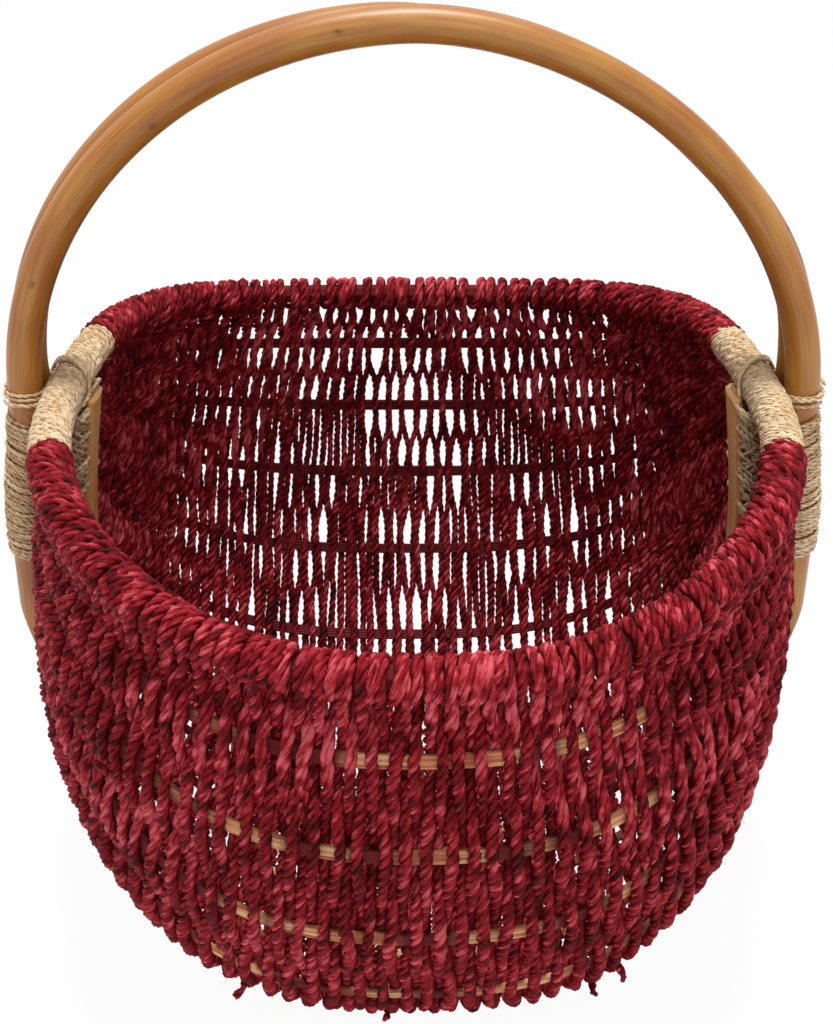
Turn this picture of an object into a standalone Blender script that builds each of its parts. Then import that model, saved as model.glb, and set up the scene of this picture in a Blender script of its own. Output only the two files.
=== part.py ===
"""A rattan market basket, as an assembly of its separate pieces.

A bent hoop of cane carries split-cane ribs that run from ear to ear. A wall of twisted
cord is woven over the ribs and wraps round the hoop. Two bent canes side by side make the
handle: their legs pass outside the hoop and are lashed to the wall with sisal.

X runs from the left ear to the right ear, the front is at -Y, and the base is at Z = 0.
"""
import math
from functools import lru_cache

import bmesh
import bpy
import numpy as np

# Clearance between pieces that touch
GAP = 0.0003

# Rim hoop: half width to the ears, reach to the front and the back, and how square each half is.
# The sag is how far the hoop's straight pieces may lie from its curve.
RIM_HALF_WIDTH = 0.190
RIM_FRONT = 0.225
RIM_BACK = 0.205
RIM_FRONT_POWER = 2.4
RIM_BACK_POWER = 3.0
EAR_HEIGHT = 0.314
DIP_FRONT = 0.038
DIP_BACK = 0.017
DIP_POWER = 3.0
HOOP_RADIUS = 0.006
HOOP_POINTS = 66
HOOP_SAG = 0.0005

# Woven wall: thickness, outline of a cross section and of the keel, and how far it bellies out
WALL = 0.008
SECTION_POWER = 2.9
KEEL_POWER = 3.0
BELLY_X = 0.08
BELLY_Y = 0.06
SETTLE = 0.004
EAR_OPENING_SHARE = 0.14
STATIONS_PER_SIDE = 9

# Ribs: split cane, thinner towards the ears, at these shares of the way from the rim to the keel
RIB_WIDTH = 0.0060
RIB_END_WIDTH = 0.0026
RIB_THICKNESS = 0.003
RIB_PLACES = (0.063, 0.178, 0.300, 0.438, 0.587, 0.737, 0.888)

# Sisal cord and its windings
SISAL = 0.0042
RIM_WIND_FRONT = 0.088
RIM_WIND_BACK = 0.072
RIM_WIND_TURNS = 18
ROUND_POINTS = 10
LEG_WIND_TOP = 0.020
LEG_WIND_LENGTH = 0.077
LEG_WIND_TURNS = 12
SPLINT_WIND_TOP = 0.026
SPLINT_WIND_LENGTH = 0.040
SPLINT_WIND_TURNS = 6
END_ANGLES = (-67.5, -22.5, 22.5, 67.5)

# Handle: two bent canes, thinner at the top, with shaved leg ends. The powers say how full each
# shoulder is. The back cane bends a little lower at the top and further out beside the ears, on the
# left up to the top.
CANE_RADIUS = 0.0095
CANE_TOP_RADIUS = 0.0091
HANDLE_RISE = 0.194
HANDLE_POWER_LEFT = 1.96
HANDLE_POWER_RIGHT = 1.87
BACK_CANE_DROP = 0.002
BACK_CANE_SPREAD_LEFT = 0.0048
BACK_CANE_SPREAD_RIGHT = 0.004
BACK_CANE_FULLNESS = 0.7
LEG_LENGTH = 0.172
LEG_SPLAY_LENGTH = 0.080
SHAVE_LENGTH = 0.042
SHAVE_TIP = 0.005
ARCH_POINTS = 30
LEG_POINTS = 8

# Inner splints: flat canes inside the wall, facing the legs
SPLINT_WIDTH = 0.024
SPLINT_THICKNESS = 0.006
SPLINT_ABOVE = 0.008
SPLINT_BELOW = 0.125
SPLINT_CROWN_SHARE = 0.72
SPLINT_POINTS = 9

# Values that follow from the ones above
ROUND_SHARE = math.cos(math.pi / ROUND_POINTS)
END_SHARE = math.cos(math.radians(22.5))
WIND_RADIUS = (HOOP_RADIUS + GAP + SISAL / 2) / ROUND_SHARE
RIM_RADIUS = WIND_RADIUS + SISAL / 2
BORE_RADIUS = (HOOP_RADIUS + GAP) / math.cos(math.pi / 8)
STANDOFF = RIM_RADIUS + HOOP_SAG + GAP
LEG_SIDEWAYS = CANE_RADIUS + GAP / 2
SPLINT_STANDOFF = STANDOFF + SPLINT_THICKNESS / 2
BOTTOM = WALL / 2

# How finely curves are sampled, and the steps over which directions are measured
RIM_SAMPLES = 20001
KEEL_SAMPLES = 4001
SECTION_SAMPLES = 721
STATION_STEP = 0.004
DIRECTION_STEP = 0.002

PALETTE = {
    "crimson_cord": ((0.20, 0.012, 0.03), 0.75),
    "split_cane": ((0.62, 0.42, 0.24), 0.6),
    "rattan": ((0.46, 0.23, 0.075), 0.4),
    "sisal": ((0.42, 0.27, 0.13), 0.85),
}


def clear_scene():
    for item in list(bpy.data.objects):
        bpy.data.objects.remove(item, do_unlink=True)


def new_collection(name):
    collection = bpy.data.collections.new(name)
    bpy.context.scene.collection.children.link(collection)
    return collection


def material(name):
    found = bpy.data.materials.get(name)
    if found:
        return found
    colour, roughness = PALETTE[name]
    made = bpy.data.materials.new(name)
    made.use_nodes = True
    shader = made.node_tree.nodes["Principled BSDF"]
    shader.inputs["Base Color"].default_value = (*colour, 1.0)
    shader.inputs["Roughness"].default_value = roughness
    shader.inputs["Metallic"].default_value = 0.0
    made.diffuse_color = (*colour, 1.0)
    return made


def add_object(name, data, slot, collection):
    item = bpy.data.objects.new(name, data)
    collection.objects.link(item)
    data.materials.append(material(slot))
    return item


def tube(name, points, radius, slot, collection, resolution=2, cyclic=False, shares=None):
    """A round bar along points, with filled caps."""
    curve = bpy.data.curves.new(name, "CURVE")
    curve.dimensions = "3D"
    curve.bevel_depth = radius
    curve.bevel_resolution = resolution
    curve.use_fill_caps = not cyclic
    spline = curve.splines.new("POLY")
    spline.points.add(len(points) - 1)
    for index, point in enumerate(points):
        spline.points[index].co = (*point, 1.0)
        spline.points[index].radius = shares[index] if shares else 1.0
    spline.use_cyclic_u = cyclic
    return add_object(name, curve, slot, collection)


def to_mesh(item):
    """Turns a tube into a closed mesh object, so that it can be cut."""
    name = item.name
    slot = item.data.materials[0].name
    collection = item.users_collection[0]
    place = item.matrix_world.copy()
    graph = bpy.context.evaluated_depsgraph_get()
    mesh = bpy.data.meshes.new_from_object(item.evaluated_get(graph))
    bpy.data.objects.remove(item, do_unlink=True)
    work = bmesh.new()
    work.from_mesh(mesh)
    bmesh.ops.remove_doubles(work, verts=work.verts, dist=0.00001)
    bmesh.ops.recalc_face_normals(work, faces=work.faces)
    work.to_mesh(mesh)
    work.free()
    mesh.materials.clear()
    made = add_object(name, mesh, slot, collection)
    made.matrix_world = place
    return made


def cut(item, cutter):
    modifier = item.modifiers.new("cut " + cutter.name, "BOOLEAN")
    modifier.operation = "DIFFERENCE"
    modifier.solver = "EXACT"
    modifier.object = cutter
    cutter.hide_render = True
    cutter.display_type = "WIRE"


def loft(name, rings, slot, collection, cap_faces):
    """A closed body through rings of points. cap_faces lists each end's faces by ring index."""
    work = bmesh.new()
    rows = [[work.verts.new(point) for point in ring] for ring in rings]
    count = len(rows[0])
    for low, high in zip(rows, rows[1:]):
        for index in range(count):
            following = (index + 1) % count
            work.faces.new((low[index], low[following], high[following], high[index]))
    for row in (rows[0], rows[-1]):
        for face in cap_faces:
            work.faces.new([row[index] for index in face])
    bmesh.ops.recalc_face_normals(work, faces=work.faces)
    mesh = bpy.data.meshes.new(name)
    work.to_mesh(mesh)
    work.free()
    return add_object(name, mesh, slot, collection)


def unit(vector):
    return vector / np.linalg.norm(vector)


def oval(share, power):
    """How far an oval of this power still reaches at a share of its half width."""
    return (1.0 - share ** power) ** (1.0 / power)


def signed_power(values, power):
    return np.sign(values) * np.abs(values) ** power


def rim_z(reach_share, dip):
    return EAR_HEIGHT - dip * reach_share ** DIP_POWER


def rim_points(angles):
    """The rim's centre line. Angle 0 is the right ear, and it turns towards the back."""
    sine = np.sin(angles)
    power = np.where(sine < 0, RIM_FRONT_POWER, RIM_BACK_POWER)
    reach = np.where(sine < 0, RIM_FRONT, RIM_BACK)
    dip = np.where(sine < 0, DIP_FRONT, DIP_BACK)
    x = RIM_HALF_WIDTH * signed_power(np.cos(angles), 2 / power)
    share = np.abs(sine) ** (2 / power)
    y = reach * share * np.sign(sine)
    return np.stack([x, y, rim_z(share, dip)], axis=-1)


def length_along(points):
    steps = np.linalg.norm(np.diff(points, axis=0), axis=1)
    return np.concatenate([[0.0], np.cumsum(steps)])


@lru_cache(maxsize=None)
def hoop_line():
    """The hoop as a closed polyline, each point's distance from the right ear, and the left ear's."""
    angles = np.linspace(0.0, 2 * math.pi, RIM_SAMPLES)
    fine = rim_points(angles)
    distance = length_along(fine)
    wanted = np.linspace(0.0, distance[-1], HOOP_POINTS + 1)
    points = np.stack([np.interp(wanted, distance, fine[:, axis]) for axis in range(3)], axis=-1)
    left_ear = float(np.interp(math.pi, angles, distance))
    return points, wanted, left_ear


def on_hoop(distance):
    """A point of the hoop's polyline, at a distance from the right ear towards the back."""
    points, along, _ = hoop_line()
    distance = distance % along[-1]
    return np.array([np.interp(distance, along, points[:, axis]) for axis in range(3)])


def hoop_stretch(start, end):
    """The hoop's polyline from start to end, with the end before or after the right ear."""
    points, along, _ = hoop_line()
    total = along[-1]
    inside = []
    for turn in (-1, 0, 1):
        for point, place in zip(points[:-1], along[:-1]):
            if start + GAP < place + turn * total < end - GAP:
                inside.append((place + turn * total, tuple(point)))
    inside.sort()
    middle = [point for _, point in inside]
    return [tuple(on_hoop(start))] + middle + [tuple(on_hoop(end))]


def hoop_frame(distance):
    """The hoop's point there, with a level and an upright unit vector square to the hoop."""
    tangent = unit(on_hoop(distance + DIRECTION_STEP) - on_hoop(distance - DIRECTION_STEP))
    level = unit(np.cross(tangent, (0.0, 0.0, 1.0)))
    return on_hoop(distance), level, np.cross(level, tangent)


@lru_cache(maxsize=None)
def keel_line():
    """Shares of the half width, and the keel's length from the middle to each of them."""
    last = oval(EAR_OPENING_SHARE, KEEL_POWER)
    end_angle = math.asin(last ** (KEEL_POWER / 2))
    angles = np.linspace(0.0, end_angle, KEEL_SAMPLES)
    shares = np.sin(angles) ** (2 / KEEL_POWER)
    depth = np.cos(angles) ** (2 / KEEL_POWER)
    line = np.stack([RIM_HALF_WIDTH * shares, EAR_HEIGHT * depth], axis=-1)
    return shares, length_along(line)


def station_x(station):
    """X of a cross section. Stations run from -1 at the left ear to 1 at the right ear."""
    shares, distance = keel_line()
    share = np.interp(abs(station) * distance[-1], distance, shares)
    return math.copysign(RIM_HALF_WIDTH * share, station)


@lru_cache(maxsize=None)
def section_line(station):
    """The wall's middle surface at a station, front rim to back rim, and the length along it."""
    x = station_x(station)
    share = abs(x) / RIM_HALF_WIDTH
    turn = np.linspace(0.0, math.pi, SECTION_SAMPLES)
    front = oval(share, RIM_FRONT_POWER)
    back = oval(share, RIM_BACK_POWER)
    blend = 0.5 - 0.5 * np.cos(turn)
    top = (1 - blend) * rim_z(front, DIP_FRONT) + blend * rim_z(back, DIP_BACK)
    lowest = BOTTOM - SETTLE
    floor = EAR_HEIGHT - (EAR_HEIGHT - lowest) * oval(share, KEEL_POWER)
    drop = np.abs(np.sin(turn)) ** (2 / SECTION_POWER)
    reach = np.where(turn < math.pi / 2, RIM_FRONT * front, RIM_BACK * back)
    y = -reach * signed_power(np.cos(turn), 2 / SECTION_POWER)
    z = top - (top - floor) * drop
    swell = np.sin(math.pi * (top - z) / (top - lowest))
    x_line = x * (1 + BELLY_X * swell)
    y_line = y * (1 + BELLY_Y * swell)
    line = np.stack([x_line, y_line, np.maximum(z, BOTTOM)], axis=-1)
    return line, length_along(line)


def wall_point(station, share):
    """A point on the wall's middle surface, at a share of the way from the front to the back."""
    line, distance = section_line(station)
    wanted = STANDOFF + share * (distance[-1] - 2 * STANDOFF)
    return np.array([np.interp(wanted, distance, line[:, axis]) for axis in range(3)])


def wall_frame(station, share):
    """The wall's point there, with unit vectors across the ribs and out of the wall."""
    before = max(-1.0, station - STATION_STEP)
    after = min(1.0, station + STATION_STEP)
    along = wall_point(after, share) - wall_point(before, share)
    low = max(0.0, share - STATION_STEP)
    high = min(1.0, share + STATION_STEP)
    across = unit(wall_point(station, high) - wall_point(station, low))
    outward = unit(np.cross(across, along))
    return wall_point(station, share), across, outward


def keel_x(z):
    """How far the wall's middle surface reaches to the side at a height, at Y = 0."""
    depth = min(max((EAR_HEIGHT - z) / (EAR_HEIGHT - BOTTOM + SETTLE), 0.0), 1.0)
    return RIM_HALF_WIDTH * oval(depth, KEEL_POWER) * (1 + BELLY_X * math.sin(math.pi * depth))


def stations():
    return [index / STATIONS_PER_SIDE for index in range(-STATIONS_PER_SIDE, STATIONS_PER_SIDE + 1)]


def rib_shares():
    """Each rib's share of the way from the front edge of the wall to the back edge."""
    front = [place / 2 for place in RIB_PLACES]
    return front + [0.5] + [1 - share for share in reversed(front)]


def rib_names():
    count = len(RIB_PLACES)
    front = [f"rib_front_{index + 1}" for index in range(count)]
    back = [f"rib_back_{index + 1}" for index in reversed(range(count))]
    return front + ["rib_keel"] + back


def rib_half_width(station):
    return (RIB_WIDTH + (RIB_END_WIDTH - RIB_WIDTH) * station ** 2) / 2


def wall_columns(station):
    """The wall's columns at a station, front to back: outer point, inner point, floor point, side.

    The two edges of a rib's groove have a floor point, and sides -1 and 1. Other columns have none.
    """
    shares = rib_shares()
    columns = []

    def plain(share):
        point, _, outward = wall_frame(station, share)
        columns.append((point + outward * WALL / 2, point - outward * WALL / 2, None, 0))

    plain(0.0)
    for index, share in enumerate(shares):
        if index > 0:
            plain((shares[index - 1] + share) / 2)
        point, across, outward = wall_frame(station, share)
        reach = rib_half_width(station) + GAP
        for side in (-1, 1):
            edge = point + across * side * reach
            floor = edge + outward * (RIB_THICKNESS / 2 + GAP)
            columns.append((edge + outward * WALL / 2, edge - outward * WALL / 2, floor, side))
    plain(1.0)
    return columns


def woven_wall(collection):
    """The wall of twisted cord, with a groove for each rib that is open to the inside."""
    rings = []
    for station in stations():
        columns = wall_columns(station)
        ring = [outer for outer, _, _, _ in columns]
        for _, inner, floor, side in reversed(columns):
            if side == 0:
                ring.append(inner)
            elif side == 1:
                ring.extend((inner, floor))
            else:
                ring.extend((floor, inner))
        rings.append([settled(point) for point in ring])
    return loft("woven_wall", rings, "crimson_cord", collection, wall_end_faces())


def settled(point):
    """The point, or its place on the ground if the basket has settled on it."""
    if point[2] < BOTTOM / 1000:
        return (point[0], point[1], 0.0)
    return tuple(point)


def wall_end_faces():
    """The faces that close the wall at an ear, as indices of its ring of points."""
    sides = [side for _, _, _, side in wall_columns(0.0)]
    count = len(sides)
    inner_index = {}
    floor_index = {}
    place = count
    for index in reversed(range(count)):
        if sides[index] == -1:
            floor_index[index] = place
            place += 1
        inner_index[index] = place
        place += 1
        if sides[index] == 1:
            floor_index[index] = place
            place += 1
    faces = []
    for index in range(count - 1):
        following = index + 1
        face = [index, following]
        if following in floor_index:
            face.append(floor_index[following])
        if sides[index] != -1:
            face.extend((inner_index[following], inner_index[index]))
        if index in floor_index:
            face.append(floor_index[index])
        faces.append(face)
    return faces


def ribs(collection):
    """Split canes from ear to ear, each seated in its groove in the wall."""
    for name, share in zip(rib_names(), rib_shares()):
        rings = []
        for station in stations():
            point, across, outward = wall_frame(station, share)
            side = across * rib_half_width(station)
            thick = outward * RIB_THICKNESS / 2
            rings.append([tuple(corner) for corner in (
                point - side - thick, point + side - thick,
                point + side + thick, point - side + thick)])
        loft(name, rings, "split_cane", collection, [(0, 1, 2, 3)])


def rim_hoop(collection):
    points, _, _ = hoop_line()
    tube("rim_hoop", [tuple(p) for p in points[:-1]], HOOP_RADIUS, "rattan", collection, cyclic=True)


def rim_sleeve(name, start, end, collection, cutters):
    """The wall's cord where it wraps round the hoop, bored for the hoop."""
    sleeve = to_mesh(tube(name, hoop_stretch(start, end), RIM_RADIUS, "crimson_cord", collection))
    over = RIM_RADIUS
    path = hoop_stretch(start - over, end + over)
    bore = to_mesh(tube(name + "_bore", path, BORE_RADIUS, "crimson_cord", cutters))
    cut(sleeve, bore)


def least_gap(points, diameter):
    """The least gap between a cord and the parts of itself that are over three diameters further on."""
    points = np.array(points)
    parts = np.arange(5) / 5
    fine = np.array([a + (b - a) * part for a, b in zip(points, points[1:]) for part in parts])
    along = length_along(fine)
    nearest = 3 * diameter
    least = math.inf
    for index, point in enumerate(fine):
        far = np.abs(along - along[index]) > nearest
        if far.any():
            least = min(least, float(np.linalg.norm(fine[far] - point, axis=1).min()))
    return least - diameter


def winding(name, points, collection):
    """One unbroken sisal cord, whose ends run straight for one diameter."""
    points = [np.array(point) for point in points]
    first = points[0] + unit(points[0] - points[1]) * SISAL
    last = points[-1] + unit(points[-1] - points[-2]) * SISAL
    whole = [first] + points + [last]
    print(f"{name}: least gap to itself {least_gap(whole, SISAL) * 1000:.2f} mm")
    tube(name, [tuple(p) for p in whole], SISAL / 2, "sisal", collection, resolution=1)


@lru_cache(maxsize=None)
def rim_winding_line(side):
    """The centre line of the sisal wound round the hoop at an ear."""
    _, along, left_ear = hoop_line()
    if side < 0:
        start, end = left_ear - RIM_WIND_BACK, left_ear + RIM_WIND_FRONT
    else:
        start, end = -RIM_WIND_FRONT, RIM_WIND_BACK
    steps = RIM_WIND_TURNS * ROUND_POINTS
    points = []
    for step in range(steps + 1):
        point, level, upright = hoop_frame(start + (end - start) * step / steps)
        angle = 2 * math.pi * step / ROUND_POINTS
        points.append(point + (level * math.cos(angle) + upright * math.sin(angle)) * WIND_RADIUS)
    return points


def flat_winding(name, line, top, length, turns, radius, half_span, collection):
    """Sisal wound round a wide piece that hangs down from the rim along line."""
    corners = []
    for side in (1, -1):
        for angle in END_ANGLES:
            turned = math.radians(angle)
            corners.append((side * math.sin(turned) * radius, side * (half_span + math.cos(turned) * radius)))
    count = len(corners)
    steps = turns * count
    points = []
    for step in range(steps + 1):
        depth = top + length * step / steps
        centre, outward = line(depth)
        out, across = corners[step % count]
        points.append(centre + outward * out + np.array((0.0, across, 0.0)))
    winding(name, points, collection)


def beside_wall(side, standoff):
    """The line a piece follows at a distance from the wall, by its depth below the ear."""
    def place(depth):
        z = EAR_HEIGHT - depth
        return np.array((side * (keel_x(z) + standoff), 0.0, z))

    def line(depth):
        down = unit(place(depth + DIRECTION_STEP) - place(depth - DIRECTION_STEP))
        return place(depth), outward_from(down, side)
    return line


@lru_cache(maxsize=None)
def leg_seat(side):
    """How far out the handle stands at an ear, so that a leg rests on the outermost turn of sisal."""
    touching = CANE_RADIUS + GAP + SISAL / 2
    line = rim_winding_line(side)
    seat = 0.0
    for start, end in zip(line, line[1:]):
        for part in np.arange(5) / 5:
            x, y, _ = start + (end - start) * part
            for rank in (-1, 1):
                aside = abs(y - rank * LEG_SIDEWAYS)
                if aside < touching:
                    seat = max(seat, abs(x) + math.sqrt(touching ** 2 - aside ** 2))
    return seat


@lru_cache(maxsize=None)
def leg_reach():
    """How far out a leg stands where the wall is widest, with its lashing between them."""
    widest = max(keel_x(z) for z in np.linspace(BOTTOM, EAR_HEIGHT, SECTION_SAMPLES))
    return widest + WALL / 2 + GAP + SISAL + GAP + CANE_RADIUS


def leg_line(side):
    """The line a leg of the handle follows, by its depth below the ear."""
    def place(depth):
        share = min(max(depth / LEG_SPLAY_LENGTH, 0.0), 1.0)
        eased = share * share * (3 - 2 * share)
        x = leg_seat(side) + (leg_reach() - leg_seat(side)) * eased
        return np.array((side * x, 0.0, EAR_HEIGHT - depth))

    def line(depth):
        down = unit(place(depth + DIRECTION_STEP) - place(depth - DIRECTION_STEP))
        return place(depth), outward_from(down, side)
    return line


def outward_from(down, side):
    """The level-most unit vector square to a piece that hangs down on this side, away from the basket."""
    return side * np.array((-down[2], 0.0, down[0]))


def cane_radius(height_share):
    return CANE_RADIUS + (CANE_TOP_RADIUS - CANE_RADIUS) * height_share


def back_cane_bulge(angle):
    """How far outside the front cane's line the back cane runs. Angle 0 is the right ear."""
    if angle > math.pi / 2:
        return BACK_CANE_SPREAD_LEFT * abs(math.sin(2 * angle)) ** BACK_CANE_FULLNESS
    if angle < math.pi / 4:
        return BACK_CANE_SPREAD_RIGHT * math.sin(4 * angle) ** 2
    return 0.0


def handle_cane(name, rank, collection, cutters):
    """One cane of the handle. Rank is -1 for the front cane and 1 for the back one."""
    points = []
    shares = []

    def add(x, z, height_share):
        radius = cane_radius(height_share)
        points.append((x, rank * (radius + GAP / 2), z))
        shares.append(radius / CANE_RADIUS)

    left = leg_line(-1)
    right = leg_line(1)
    depths = [LEG_LENGTH * (1 - index / LEG_POINTS) for index in range(LEG_POINTS)]
    for depth in depths:
        place, _ = left(depth)
        add(place[0], place[2], 0.0)
    top = HANDLE_RISE - BACK_CANE_DROP if rank > 0 else HANDLE_RISE
    for index in range(ARCH_POINTS + 1):
        angle = math.pi * (1 - index / ARCH_POINTS)
        is_left = angle > math.pi / 2
        power = HANDLE_POWER_LEFT if is_left else HANDLE_POWER_RIGHT
        half = leg_seat(-1) if is_left else leg_seat(1)
        bulge = back_cane_bulge(angle) if rank > 0 else 0.0
        x = half * signed_power(math.cos(angle), 2 / power)
        height_share = math.sin(angle) ** (2 / power)
        z = EAR_HEIGHT + top * height_share
        add(x + bulge * math.cos(angle), z + bulge * math.sin(angle), height_share)
    for depth in reversed(depths):
        place, _ = right(depth)
        add(place[0], place[2], 0.0)
    cane = to_mesh(tube(name, points, CANE_RADIUS, "rattan", collection, shares=shares))
    for side in (-1, 1):
        cut(cane, shave_cutter(name, side, cutters))


def shave_cutter(name, side, cutters):
    """A block whose inner face is the long shaved cut on the outer side of a leg's end."""
    line = leg_line(side)
    low, low_out = line(LEG_LENGTH)
    high, high_out = line(LEG_LENGTH - SHAVE_LENGTH)
    start = high + high_out * CANE_RADIUS
    end = low + low_out * (SHAVE_TIP - CANE_RADIUS)
    slope = unit(end - start)
    outward = outward_from(slope, side)
    deep = 4 * CANE_RADIUS
    wide = 12 * CANE_RADIUS
    middle = (start + end) / 2 + outward * deep / 2
    long = np.linalg.norm(end - start) + 6 * CANE_RADIUS
    work = bmesh.new()
    bmesh.ops.create_cube(work, size=1.0)
    for vertex in work.verts:
        along, across, out = vertex.co
        place = middle + slope * along * long + outward * out * deep
        vertex.co = (place[0], side * across * wide, place[2])
    mesh = bpy.data.meshes.new(f"{name}_shave_{side}")
    work.to_mesh(mesh)
    work.free()
    return add_object(f"{name}_shave_{side}", mesh, "rattan", cutters)


def inner_splint(name, side, collection):
    """A flat cane inside the wall, from above the rim down the end of the basket."""
    line = beside_wall(side, -SPLINT_STANDOFF)
    rings = []
    for index in range(SPLINT_POINTS):
        depth = -SPLINT_ABOVE + (SPLINT_BELOW + SPLINT_ABOVE) * index / (SPLINT_POINTS - 1)
        centre, outward = line(depth)
        thick = outward * SPLINT_THICKNESS / 2
        wide = np.array((0.0, SPLINT_WIDTH / 2, 0.0))
        crown = wide * SPLINT_CROWN_SHARE
        rings.append([tuple(corner) for corner in (
            centre - wide, centre - crown - thick, centre + crown - thick,
            centre + wide, centre + crown + thick, centre - crown + thick)])
    loft(name, rings, "split_cane", collection, [(0, 1, 2, 3, 4, 5)])


def build():
    clear_scene()
    basket = new_collection("market_basket")
    cutters = new_collection("cutters")
    _, along, left_ear = hoop_line()
    total = along[-1]

    rim_hoop(basket)
    woven_wall(basket)
    ribs(basket)

    seam = SISAL
    rim_sleeve("rim_wrap_back", RIM_WIND_BACK + seam, left_ear - RIM_WIND_BACK - seam, basket, cutters)
    rim_sleeve("rim_wrap_front", left_ear + RIM_WIND_FRONT + seam, total - RIM_WIND_FRONT - seam,
               basket, cutters)
    handle_cane("handle_cane_front", -1, basket, cutters)
    handle_cane("handle_cane_back", 1, basket, cutters)
    leg_loop = (CANE_RADIUS + GAP + SISAL / 2) / END_SHARE
    splint_loop = (SPLINT_THICKNESS / 2 + GAP + SISAL / 2) / END_SHARE
    for side, word in ((-1, "left"), (1, "right")):
        winding(f"rim_sisal_{word}", rim_winding_line(side), basket)
        inner_splint(f"inner_splint_{word}", side, basket)
        flat_winding(f"leg_lashing_{word}", leg_line(side), LEG_WIND_TOP,
                     LEG_WIND_LENGTH, LEG_WIND_TURNS, leg_loop, LEG_SIDEWAYS, basket)
        flat_winding(f"splint_lashing_{word}", beside_wall(side, -SPLINT_STANDOFF), SPLINT_WIND_TOP,
                     SPLINT_WIND_LENGTH, SPLINT_WIND_TURNS, splint_loop,
                     SPLINT_WIDTH / 2 - SPLINT_THICKNESS / 2, basket)


build()
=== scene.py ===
"""A rattan market basket of twisted crimson cord, split cane and sisal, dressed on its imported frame.

The file is laid out as an add-on and is run as a script. The panel lists one operator for each group
of pieces, and main() calls them in order. Sizes are in metres and angles in radians, unless a name
or a comment says otherwise.
"""
import math
from functools import lru_cache, partial

import bpy
import numpy as np
from bpy.props import FloatProperty, FloatVectorProperty, IntProperty, PointerProperty
from mathutils import Matrix, Vector


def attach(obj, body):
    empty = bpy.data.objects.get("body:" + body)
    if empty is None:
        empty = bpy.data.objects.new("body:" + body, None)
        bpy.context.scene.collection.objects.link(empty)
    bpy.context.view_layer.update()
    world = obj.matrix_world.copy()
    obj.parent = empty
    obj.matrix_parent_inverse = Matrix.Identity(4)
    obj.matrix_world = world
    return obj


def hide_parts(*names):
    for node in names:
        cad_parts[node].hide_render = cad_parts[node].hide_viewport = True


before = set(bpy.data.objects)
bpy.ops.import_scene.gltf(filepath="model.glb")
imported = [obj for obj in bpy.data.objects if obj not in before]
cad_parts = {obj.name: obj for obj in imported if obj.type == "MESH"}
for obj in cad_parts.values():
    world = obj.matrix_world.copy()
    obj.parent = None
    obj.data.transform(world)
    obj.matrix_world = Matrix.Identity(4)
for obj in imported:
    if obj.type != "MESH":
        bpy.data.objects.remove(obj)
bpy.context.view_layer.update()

bl_info = {
    "name": "Rattan market basket",
    "version": (1, 0, 0),
    "blender": (4, 5, 0),
    "location": "3D View > Sidebar > Basket",
    "description": "Weaves a market basket of twisted cord over split-cane ribs, with a lashed handle",
    "category": "Add Mesh",
}

# The rim hoop's line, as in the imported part, and the wall's surface, a little squarer in section and less
# bellied on the right than there
RIM_HALF_WIDTH = 0.190
RIM_FRONT = 0.225
RIM_BACK = 0.205
RIM_FRONT_POWER = 2.4
RIM_BACK_POWER = 3.0
EAR_HEIGHT = 0.314
DIP_FRONT = 0.038
DIP_BACK = 0.017
DIP_POWER = 3.0
HOOP_RADIUS = 0.006
RIM_RADIUS = 0.0109
STANDOFF = 0.0117
SECTION_POWER = 3.3
KEEL_POWER = 3.0
BELLY_X = 0.08
BELLY_RIGHT = 0.055
BELLY_Y = 0.06
SETTLE = 0.004
BOTTOM = 0.004
EAR_OPENING_SHARE = 0.14

# Ribs: their places from the rim to the keel, their section and the fine strips in it, and how far from
# the middle those in front are bare of dye. Beyond that, and all along the back ribs, the ribs are dark
# red:
# stained by the dye, and on the back ribs inside the basket also painted shade
RIB_PLACES = (0.063, 0.178, 0.300, 0.438, 0.587, 0.737, 0.888)
RIB_WIDTH = 0.0072
RIB_END_WIDTH = 0.0026
RIB_THICKNESS = 0.003
STRIPS_PER_RIB = 4
GROOVE_SHARE = 0.32
BARE_HALF_WIDTH = 0.09
BARE_EASE = 0.03
RIB_WANDER = 0.08

# The weave. Shares of a pass run from the front rim to the back rim. The two tables give shares and the
# values there: how open the wall is, and how full the cord is.
PASSES_FROM_EAR = 0.017
OPEN_BY_SHARE = ((0.50, 0.60, 0.85), (0.0, 0.8, 1.05))
FULL_BY_SHARE = ((0.26, 0.36, 0.55), (1.0, 1.13, 1.08))
OPEN_HALF_WIDTH = 0.115
OPEN_EASE = 0.05
OPEN_MEAN = 0.62
OPEN_BY_PATCH = 1.2
OPEN_BELOW_RIM = 0.6
OPEN_MOST = 1.1
PATCHES_ACROSS = 32
NEAR_RIM_SHARE = 0.90
SIDE_HALF_WIDTH = 0.11
EASE = 0.04
THINNER_OPEN = 0.27
FULLER_AT_SIDE = 0.06
FLATTER_AT_EAR = 0.25
CORD_DRIFT = 0.0017
DRIFT_OFF_RIBS = 0.35
CORD_LIFT = 0.0005
FLOOR_BEND = 0.001
KEEL_PULL = 0.8

# How two passes draw together in a pair: how close and how unevenly, how blunt the bend between two ribs
# is, and how much looser they lie on a rib
PAIR_CLOSENESS = 0.9
PAIR_WANDER = 0.3
PAIR_REACH = 1.2
PAIR_BLUNTNESS = 0.7
PAIR_LOOSER_ON_RIB = 0.5

# The cord's thickness where it is pressed on a rib, and how far its middle lies above the floor and from
# the hoop, as shares of its diameter
PRESSED_ON_RIB = 0.8
ABOVE_FLOOR = 0.56
OFF_HOOP = 0.42

# The cord at the rim: where its turn starts and how far it goes, in degrees, nearly twice round or back on
# itself where sisal covers it, the slant of its turns as a share of their step, and its longer lay
RIM_TURN_START = -50.0
RIM_TURN = 640.0
HAIRPIN_TURN = 80.0
DEGREES_PER_STEP = 15
RIM_SLANT = 0.22
HAIRPIN_REACH = 1.15
LONGER_LAY_ON_RIM = 1.1

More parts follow.
